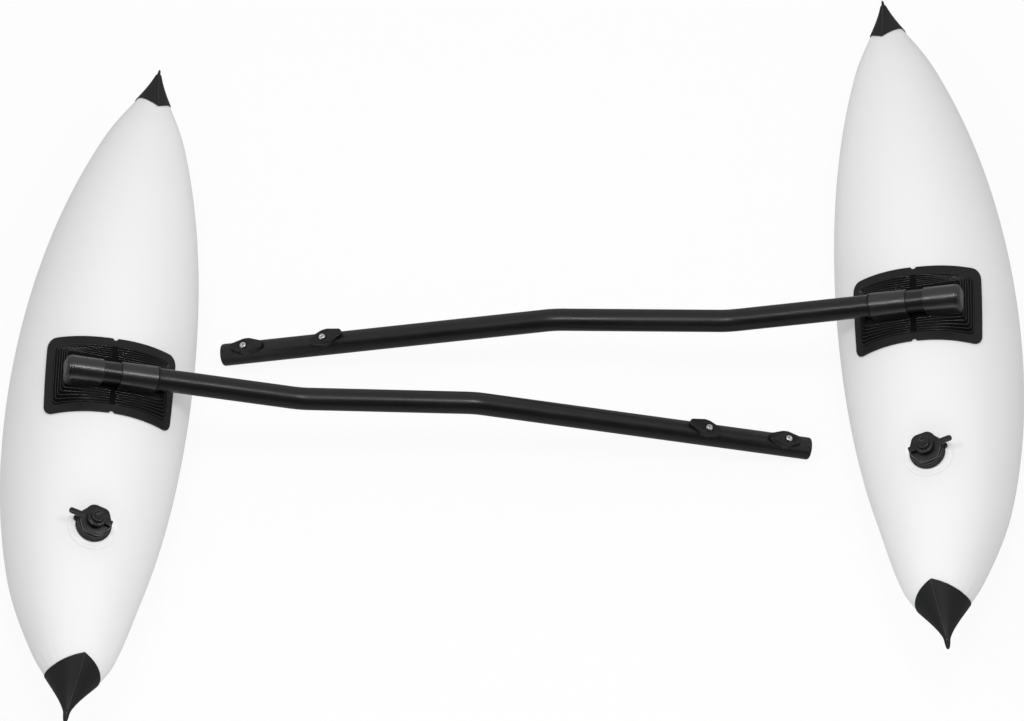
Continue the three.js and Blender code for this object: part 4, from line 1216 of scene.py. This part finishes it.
class OUTRIGGER_OT_arms(bpy.types.Operator):
    """Makes the two bent tube arms, their end plugs and the rubber rings at their sleeves"""

    bl_idname = "outrigger.arms"
    bl_label = "Arms"

    def execute(self, context):
        pad = context.scene.outrigger_pad
        arm = context.scene.outrigger_arm
        axis = arm_axis(pad, arm, Hull(context.scene.outrigger_float))
        path = [(Vector((x, 0, z)), Vector((0, 1, 0))) for x, z in axis]
        bore, outer = arm.diameter / 2 + arm.clearance, arm.diameter / 2 + arm.ring_wall
        band = [(bore, 0.0), (outer, 0.0), (outer, arm.ring_width), (bore, arm.ring_width)]
        mouth = pad.sleeve_shift + pad.sleeve_length / 2 + arm.clearance
        for side in SIDES:
            on_arm = standing(side) @ arm_frame(arm)

            def square_to_tube(x, z, lead=1):
                return on_arm @ Matrix.Translation((x, 0, z)) @ Matrix.Rotation(lead * math.pi / 2, 4, "Y")

            tube = beaded(
                side + "_bent_tube", [(path, False)], arm.diameter, arm.diameter, 72, "arm_coat", closed_ends=False
            )
            wall = tube.modifiers.new("wall", "SOLIDIFY")
            wall.thickness = arm.wall
            wall.offset = -1
            seated(tube, on_arm, "arms", "black_tube", side + "_arm_tube")

            for name, (x, z), lead in (("blind", axis[0], -1), ("deck", axis[-1], 1)):
                plug = coated(end_plug(side + "_" + name + "_plug", arm), material("black_plastic"))
                seated(plug, square_to_tube(x, z, lead), "arms", "black_plastic", side + "_" + name + "_end_plug")

            ring = coated(lathe(side + "_mouth_ring", soft(band, 0.0007, looped=True)), material("pad_rubber"))
            seated(ring, square_to_tube(mouth, axis[0][1]), side + "_ring", "pad_rubber", side + "_sleeve_ring")
        return {"FINISHED"}


# Deck end


def saddle(fit, arm, yaw):
    """A clamp plate over its screw at Z = 0, the tube's axis: a blunt lozenge that sits down on the tube."""
    length, width = fit.saddle_length / 2, fit.saddle_width / 2
    nose, shoulder = fit.saddle_nose / 2, fit.saddle_shoulder / 2
    upper = [(length, nose), (shoulder, width), (-shoulder, width), (-length, nose)]
    lower = [(x, -y) for x, y in reversed(upper)]
    rounding = 0.0022
    corners = soft([(x - fit.saddle_offset, y) for x, y in upper + lower], rounding, 4, looped=True)
    seat = arm.diameter / 2 + arm.clearance
    top = seat + fit.saddle_crown
    turns = round_turn(96)

    def reach(turn):
        way = polar(1, turn)
        best = 0.0
        for a, b in zip(corners, corners[1:] + corners[:1]):
            a, b = Vector(a), Vector(b)
            edge = b - a
            across = way.x * edge.y - way.y * edge.x
            if abs(across) > 1e-12:
                far = (a.x * edge.y - a.y * edge.x) / across
                share_in = (a.x * way.y - a.y * way.x) / across
                if far > 0 and -1e-6 <= share_in <= 1 + 1e-6:
                    best = max(best, far)
        return best

    reaches = [reach(turn) for turn in turns]

    def on_tube(x, y):
        across = x * math.sin(yaw) + y * math.cos(yaw)
        return math.sqrt(max(seat * seat - across * across, 0.0))

    def ring(size, inset, height=None):
        made = [polar(far * size - inset, turn, height or 0.0) for turn, far in zip(turns, reaches)]
        if height is None:
            for point in made:
                point.z = on_tube(point.x, point.y)
        return made

    def circle(radius, height):
        return [polar(radius, turn, height) for turn in turns]

    edge, recess, floor = 0.0014, fit.recess / 2, top - fit.recess_depth
    rings = [ring(0.35, 0), ring(0.7, 0), ring(1, 0)]
    rings += [ring(1, edge * (1 - math.cos(a)), top - edge + edge * math.sin(a)) for a in quarter_turn(5)]
    rings += [circle(recess + 0.0007, top), circle(recess + 0.0002, top - 0.0002)]
    rings += [circle(recess, top - 0.0006), circle(recess, floor)]
    return skin(rings, caps=(Vector((0, 0, seat)), Vector((0, 0, floor))))


def deck_screw(fit, arm):
    """A pan head screw with a cross recess, its axis on Z and the tube's axis at Z = 0."""
    head, shank = fit.head / 2, fit.screw / 2
    under = arm.diameter / 2 + arm.clearance + fit.saddle_crown - fit.recess_depth + arm.clearance
    crown, tip = under + fit.head_height, under - fit.screw_length
    screw = lathe("screw", [(0.0, tip), *soft([
        (shank * 0.8, tip), (shank, tip + 0.0008), (shank, under), (head, under),
        (head, under + fit.head_height * 0.45), (head * 0.72, crown - 0.0004), (head * 0.3, crown),
    ], 0.0009, 4), (0.0, crown)], 48)
    arm_of_cross, thin, yaw = fit.head * 0.27, 0.00055, 0.35
    cross = [(-arm_of_cross, -thin), (arm_of_cross, -thin), (arm_of_cross, thin), (-arm_of_cross, thin)]
    tapered = ((0.45, crown - 0.0018), (1.0, crown + 0.0004))
    points, faces = skin([[Vector((x * size, y * size, z)) for x, y in cross] for size, z in tapered])
    for turn in (yaw, yaw + math.pi / 2):
        blade = solid("blade", points, [*faces, (0, 1, 2, 3), (4, 5, 6, 7)], Matrix.Rotation(turn, 4, "Z"))
        cut(screw, blade)
    return screw


def washer(fit, arm):
    """A flat ring under the tube."""
    high = -arm.diameter / 2 - arm.clearance
    low = high - fit.washer_height
    hole, rim = fit.screw / 2 + 0.0003, fit.washer / 2
    return lathe("washer", soft([(hole, low), (rim, low), (rim, high), (hole, high)], 0.0003, 2, looped=True))


def lock_nut(fit, arm):
    """A hexagon with chamfered corners and a round collar below it."""
    top = -arm.diameter / 2 - arm.clearance * 2 - fit.washer_height
    low = top - fit.nut_height
    collar = low - fit.nut_collar
    flat, bore, turns = fit.nut / 2, fit.screw / 2 + 0.0002, round_turn(72)
    hexagon = [flat / math.cos((a + math.pi / 6) % (math.pi / 3) - math.pi / 6) for a in turns]
    rings = [[polar(min(r, limit), a, z) for a, r in zip(turns, hexagon)] for limit, z in (
        (bore, top), (flat * 1.02, top), (flat * 1.2, top - 0.0007), (flat * 1.2, low + 0.0007), (flat * 1.02, low),
        (flat * 0.9, low), (flat * 0.86, collar), (flat * 0.7, collar - 0.0003), (bore, collar),
    )]
    return solid("nut", *skin(rings, closed=True))


class OUTRIGGER_OT_fittings(bpy.types.Operator):
    """Makes the clamp plates, screws, washers and lock nuts at the deck ends"""

    bl_idname = "outrigger.deck_fittings"
    bl_label = "Deck fittings"

    def execute(self, context):
        fit = context.scene.outrigger_fit
        arm = context.scene.outrigger_arm
        end, height = arm_axis(context.scene.outrigger_pad, arm, Hull(context.scene.outrigger_float))[-1]
        outer = end - fit.screw_from_end
        places = {"outer": (outer, 0.0), "inner": (outer - fit.screw_spacing, fit.inner_yaw)}
        spots = [((x, 0, height), 0.4 * i) for i, (x, yaw) in enumerate(places.values())]
        kinds = {"screw": deck_screw(fit, arm), "washer": washer(fit, arm), "lock_nut": lock_nut(fit, arm)}
        for side in SIDES:
            on_arm = standing(side) @ arm_frame(arm)
            for name, (x, yaw) in places.items():
                plate = solid(side + "_" + name + "_plate", *saddle(fit, arm, yaw), crease=35)
                over_screw = on_arm @ Matrix.Translation((x, 0, height)) @ Matrix.Rotation(yaw, 4, "Z")
                coated(plate, material("black_plastic"))
                seated(plate, over_screw, "arms", "black_plastic", side + "_" + name + "_saddle")
            for kind, one in kinds.items():
                pieces = set_at(side + "_" + kind + "_set", one, spots, "bright_steel")
                seated(pieces, on_arm, "arms", "bright_steel", *[side + "_" + name + "_" + kind for name in places])
        for one in kinds.values():
            bpy.data.objects.remove(one)
        return {"FINISHED"}


# Valve


def valve_frame(valve, hull):
    """The valve's own frame on the hull: Z out of the hull, X round it towards the boat."""
    t, around, step = valve.place / hull.half, valve.shift / hull.radius, 1e-4
    right = (hull.point(t, around + step) - hull.point(t, around - step)).normalized()
    along = (hull.point(t + step, around) - hull.point(t - step, around)).normalized()
    out = right.cross(along).normalized()
    made = Matrix((right, out.cross(right), out)).transposed().to_4x4()
    made.translation = hull.point(t, around)
    return made


def hull_under(hull, matrix, x, y):
    """Height of the hull's surface over a point of the valve's own plane, closed in on pass by pass."""
    inverse = matrix.inverted()
    probe = matrix @ Vector((x, y, 0))
    for _ in range(6):
        t = probe.y / hull.half
        centre = hull.middle(t)
        around = math.atan2(probe.x - centre.x, probe.z - centre.z)
        probe = matrix @ Vector((x, y, (inverse @ hull.point(t, around)).z))
    return (inverse @ probe).z


def stadium(start, stop, width):
    """A bar's outline with round ends."""
    half, steps = width / 2, 10
    turns = [(i / steps - 0.5) * math.pi for i in range(steps + 1)]
    points = [(stop - half + half * math.cos(a), half * math.sin(a)) for a in turns]
    return points + [(start + half - half * math.cos(a), -half * math.sin(a)) for a in turns]


class ValveLevels:
    """The heights of the valve's pieces above the hull, and the radii that several of them share."""

    gap = 0.0003

    def __init__(self, valve):
        self.low = valve.seat + self.gap
        self.top = self.low + valve.base_height
        self.seal_low = self.top + self.gap
        self.rim_low = self.seal_low + valve.seal + self.gap
        self.rim_top = self.rim_low + valve.rim_height
        self.neck_top = self.rim_top + valve.neck_height
        self.cap_low = self.neck_top + self.gap
        self.barrel_low = self.rim_low - valve.barrel
        self.floor = self.barrel_low + 0.002
        self.rim = valve.base / 2
        self.crest = self.rim - valve.base_step
        self.neck = valve.base_neck / 2
        self.bore = valve.base_bore / 2
        self.hole = valve.pump_bore / 2


def weld_flange(name, valve, at, hull, where):
    """The clear film round the valve, draped on the hull, with its two weld rings."""
    def drape(radius, lift):
        made = [polar(radius, turn) for turn in round_turn(72)]
        for point in made:
            point.z = hull_under(hull, where, point.x, point.y) + lift
        return made

    def level(radius, height):
        return [polar(radius, turn, height) for turn in round_turn(72)]

    inner, step, edge = at.neck + at.gap * 2, at.rim + 0.001, valve.flange / 2
    low, high, seat = at.gap, at.gap + valve.film, valve.seat
    rings = [drape(inner, low), drape(step, low), drape(edge, low), drape(edge, low + valve.film * 0.6)]
    rings.append(drape(edge - 0.0004, high))
    rings += [drape(step + 0.002 + (edge - step - 0.003) * s, high) for s in (0.75, 0.5, 0.25, 0.0)]
    rings += [level(step + 0.0004, seat - 0.0002), level(step, seat), level(inner, seat)]
    flange = coated(solid("flange", *skin(rings, closed=True)), material("clear_film"))
    up = Vector((0, 0, 1))
    insets, weld_width, weld_height = (0.0016, 0.0046), 0.0011, 0.0008
    paths = [([(point, up) for point in drape(edge - inset, high)], True) for inset in insets]
    welds = beaded("welds", paths, weld_width, weld_height, 8, "clear_film", closed_ends=False)
    return joined(name, [flange, welds])


def screw_base(name, valve, at):
    """The base that is welded into the hull, with its grip ridges and the lug for a strap."""
    low, rim, step, hole, third = at.low, at.rim, valve.base_step, at.bore + at.gap, valve.base_height / 3
    body = lathe("base", soft([
        (hole, -valve.neck_depth), (at.neck, -valve.neck_depth), (at.neck, low), (rim, low),
        (rim, low + third), (rim - step / 2, low + third + 0.0005),
        (rim - step / 2, low + third * 2), (rim - step, low + third * 2 + 0.0005),
        (rim - step, at.top), (hole, at.top),
    ], 0.0006, looped=True))
    half_ridge, ridge_width, lug_root, lug_width = 0.0009, 0.0011, 0.004, 0.009
    bar = stadium(-half_ridge, half_ridge, ridge_width)
    ridge = slab("ridge", bar, low + third * 0.15, low + third * 0.9, 0.0002)
    ridges = set_at("ridges", ridge, [(polar(rim, a), a) for a in round_turn(valve.ridges)], "black_plastic")
    bpy.data.objects.remove(ridge)
    tongue = stadium(rim - lug_root, rim + valve.anchor, lug_width)
    lug = slab("lug", tongue, low, low + third, 0.0008, (rim, 0))
    lug.data.transform(Matrix.Rotation(valve.anchor_turn, 4, "Z"))
    return plastic(name, body, ridges, lug)


def seal_ring(name, valve, at):
    """The flat seal between base and plug."""
    hole, rim, low, high = at.bore + at.gap, at.rim - valve.base_step * 1.5, at.seal_low, at.seal_low + valve.seal
    profile = soft([(hole, low), (rim, low), (rim, high), (hole, high)], 0.0008, 4, looped=True)
    return coated(lathe(name, profile), material("seal_rubber"))


def lobed_plug(name, valve, at):
    """The hollow plug that screws into the base, with its lobed rim and its two wings."""
    stem, hole, neck, bore, low = valve.stem / 2 + at.gap, at.hole, valve.neck / 2, at.bore, at.barrel_low
    body = lathe("plug", soft([
        (stem, low), (bore - 0.001, low), (bore, low + 0.002), (bore, at.rim_low + valve.rim_height / 2),
        (neck, at.rim_top), (neck, at.neck_top), (hole, at.neck_top), (hole, at.floor), (stem, at.floor),
    ], 0.0006, looped=True))
    outline = [
        polar(at.crest - valve.lobe * (1 - math.cos(valve.lobes * a)), a).to_2d() for a in round_turn(96)
    ]
    parts = [body, slab("rim", outline, at.rim_low, at.rim_top, 0.0012, hole=hole + 0.0002)]
    under, over = at.rim_top - valve.wing_height, at.rim_top + 0.0003
    for start, stop in ((-valve.wing_reach, -hole - 0.001), (hole + 0.001, valve.wing_tail)):
        bar = stadium(start, stop, valve.wing_width)
        parts.append(slab("wing", bar, under, over, 0.0012, ((start + stop) / 2, 0)))
    return plastic(name, *parts)


def check_flap(name, valve, at):
    """The rubber flap under the plug's floor, held by its own stem."""
    rim, stem, under, over = 0.0095, valve.stem / 2, at.barrel_low - at.gap, at.floor + at.gap
    profile = soft([
        (0.0, at.barrel_low - 0.0013), (rim, at.barrel_low - 0.0008), (rim, under), (stem, under),
        (stem, over), (0.0028, over), (0.0014, at.floor + 0.0028), (0.0, at.floor + 0.0028),
    ], 0.0003)
    return coated(lathe(name, profile, 40), material("seal_rubber"))


def flip_cap(name, valve, at):
    """The cap over the pump's bore, with its strap to the bar on the plug's wing."""
    disc, knob, low = valve.cap / 2, valve.knob / 2, at.cap_low
    shelf = low + valve.cap_height
    top = shelf + valve.knob_height
    body = lathe("cap", [(0.0, low), *soft([
        (disc * 0.9, low), (disc, low + 0.0005), (disc, shelf - 0.0006), (disc - 0.0012, shelf),
        (knob, shelf), (knob, top), (knob * 0.62, top), (knob * 0.5, top - 0.0012), (knob * 0.2, top - 0.0015),
    ], 0.0009, 4), (0.0, top - 0.0015)])
    pivot, thick, half = valve.strap_pivot, 0.0018, 0.004
    drop_low = at.rim_top + at.gap + thick * 0.75
    parts = [body]
    for part, start, under, edge, middle in (
        ("strap", disc - 0.004, low, 0.0004, (disc + pivot) / 2),
        ("drop", pivot - thick, drop_low, 0.0003, pivot - thick / 2),
    ):
        outline = [(start, -half), (pivot, -half), (pivot, half), (start, half)]
        parts.append(slab(part, outline, under, low + thick, edge, (middle, 0)))
    bar = lathe("bar", [(0.0, -half), (thick * 0.7, -half), (thick * 0.7, half), (0.0, half)], 20)
    laid = Matrix.Rotation(math.pi / 2, 4, "X")
    bar.data.transform(Matrix.Translation((pivot - thick / 2, 0, drop_low)) @ laid)
    return plastic(name, *parts, bar)


class OUTRIGGER_OT_valves(bpy.types.Operator):
    """Makes the screw valves: welded flange, base, seal, lobed plug, check flap and flip cap"""

    bl_idname = "outrigger.valves"
    bl_label = "Valves"

    def execute(self, context):
        valve = context.scene.outrigger_valve
        hull = Hull(context.scene.outrigger_float)
        at = ValveLevels(valve)
        where = valve_frame(valve, hull)
        for side in SIDES:
            place = standing(side) @ where
            home = place @ Matrix.Rotation(valve.wing_turn, 4, "Z")
            flange = weld_flange(side + "_weld_flange", valve, at, hull, where)
            seated(flange, place, side + "_float", "clear_film", side + "_valve_flange")
            for maker, name, matrix, body, slot, node in (
                (screw_base, "_screw_base", place, "_float", "black_plastic", "_valve_base"),
                (seal_ring, "_seal_ring", place, "_seal", "seal_rubber", "_plug_seal"),
                (lobed_plug, "_lobed_plug", home, "_plug", "black_plastic", "_valve_plug"),
                (check_flap, "_flap", place, "_plug", "seal_rubber", "_check_flap"),
                (flip_cap, "_flip_cap", home, "_cap", "black_plastic", "_valve_cap"),
            ):
                seated(maker(side + name, valve, at), matrix, side + body, slot, side + node)
        return {"FINISHED"}


# Panel


class OUTRIGGER_PT_panel(bpy.types.Panel):
    """Lists the pieces and their sizes"""

    bl_label = "Kayak outriggers"
    bl_idname = "OUTRIGGER_PT_panel"
    bl_space_type = "VIEW_3D"
    bl_region_type = "UI"
    bl_category = "Outriggers"

    def draw(self, context):
        for operator in OPERATORS:
            self.layout.operator(operator.bl_idname)
        for name, group_class in SETTINGS.items():
            box = self.layout.box()
            box.label(text=group_class.__doc__)
            for key in group_class.__annotations__:
                box.prop(getattr(context.scene, name), key)


OPERATORS = (
    OUTRIGGER_OT_stage,
    OUTRIGGER_OT_floats,
    OUTRIGGER_OT_caps,
    OUTRIGGER_OT_pads,
    OUTRIGGER_OT_arms,
    OUTRIGGER_OT_fittings,
    OUTRIGGER_OT_valves,
)


def register():
    for item in (*SETTINGS.values(), *OPERATORS, OUTRIGGER_PT_panel):
        bpy.utils.register_class(item)
    for name, group_class in SETTINGS.items():
        setattr(bpy.types.Scene, name, bpy.props.PointerProperty(type=group_class))


def unregister():
    for name in SETTINGS:
        delattr(bpy.types.Scene, name)
    for item in reversed((*SETTINGS.values(), *OPERATORS, OUTRIGGER_PT_panel)):
        bpy.utils.unregister_class(item)


def main():
    register()
    bpy.ops.outrigger.stage()
    bpy.ops.outrigger.floats()
    bpy.ops.outrigger.tip_caps()
    bpy.ops.outrigger.sleeve_pads()
    bpy.ops.outrigger.arms()
    bpy.ops.outrigger.deck_fittings()
    bpy.ops.outrigger.valves()


if __name__ == "__main__":
    main()
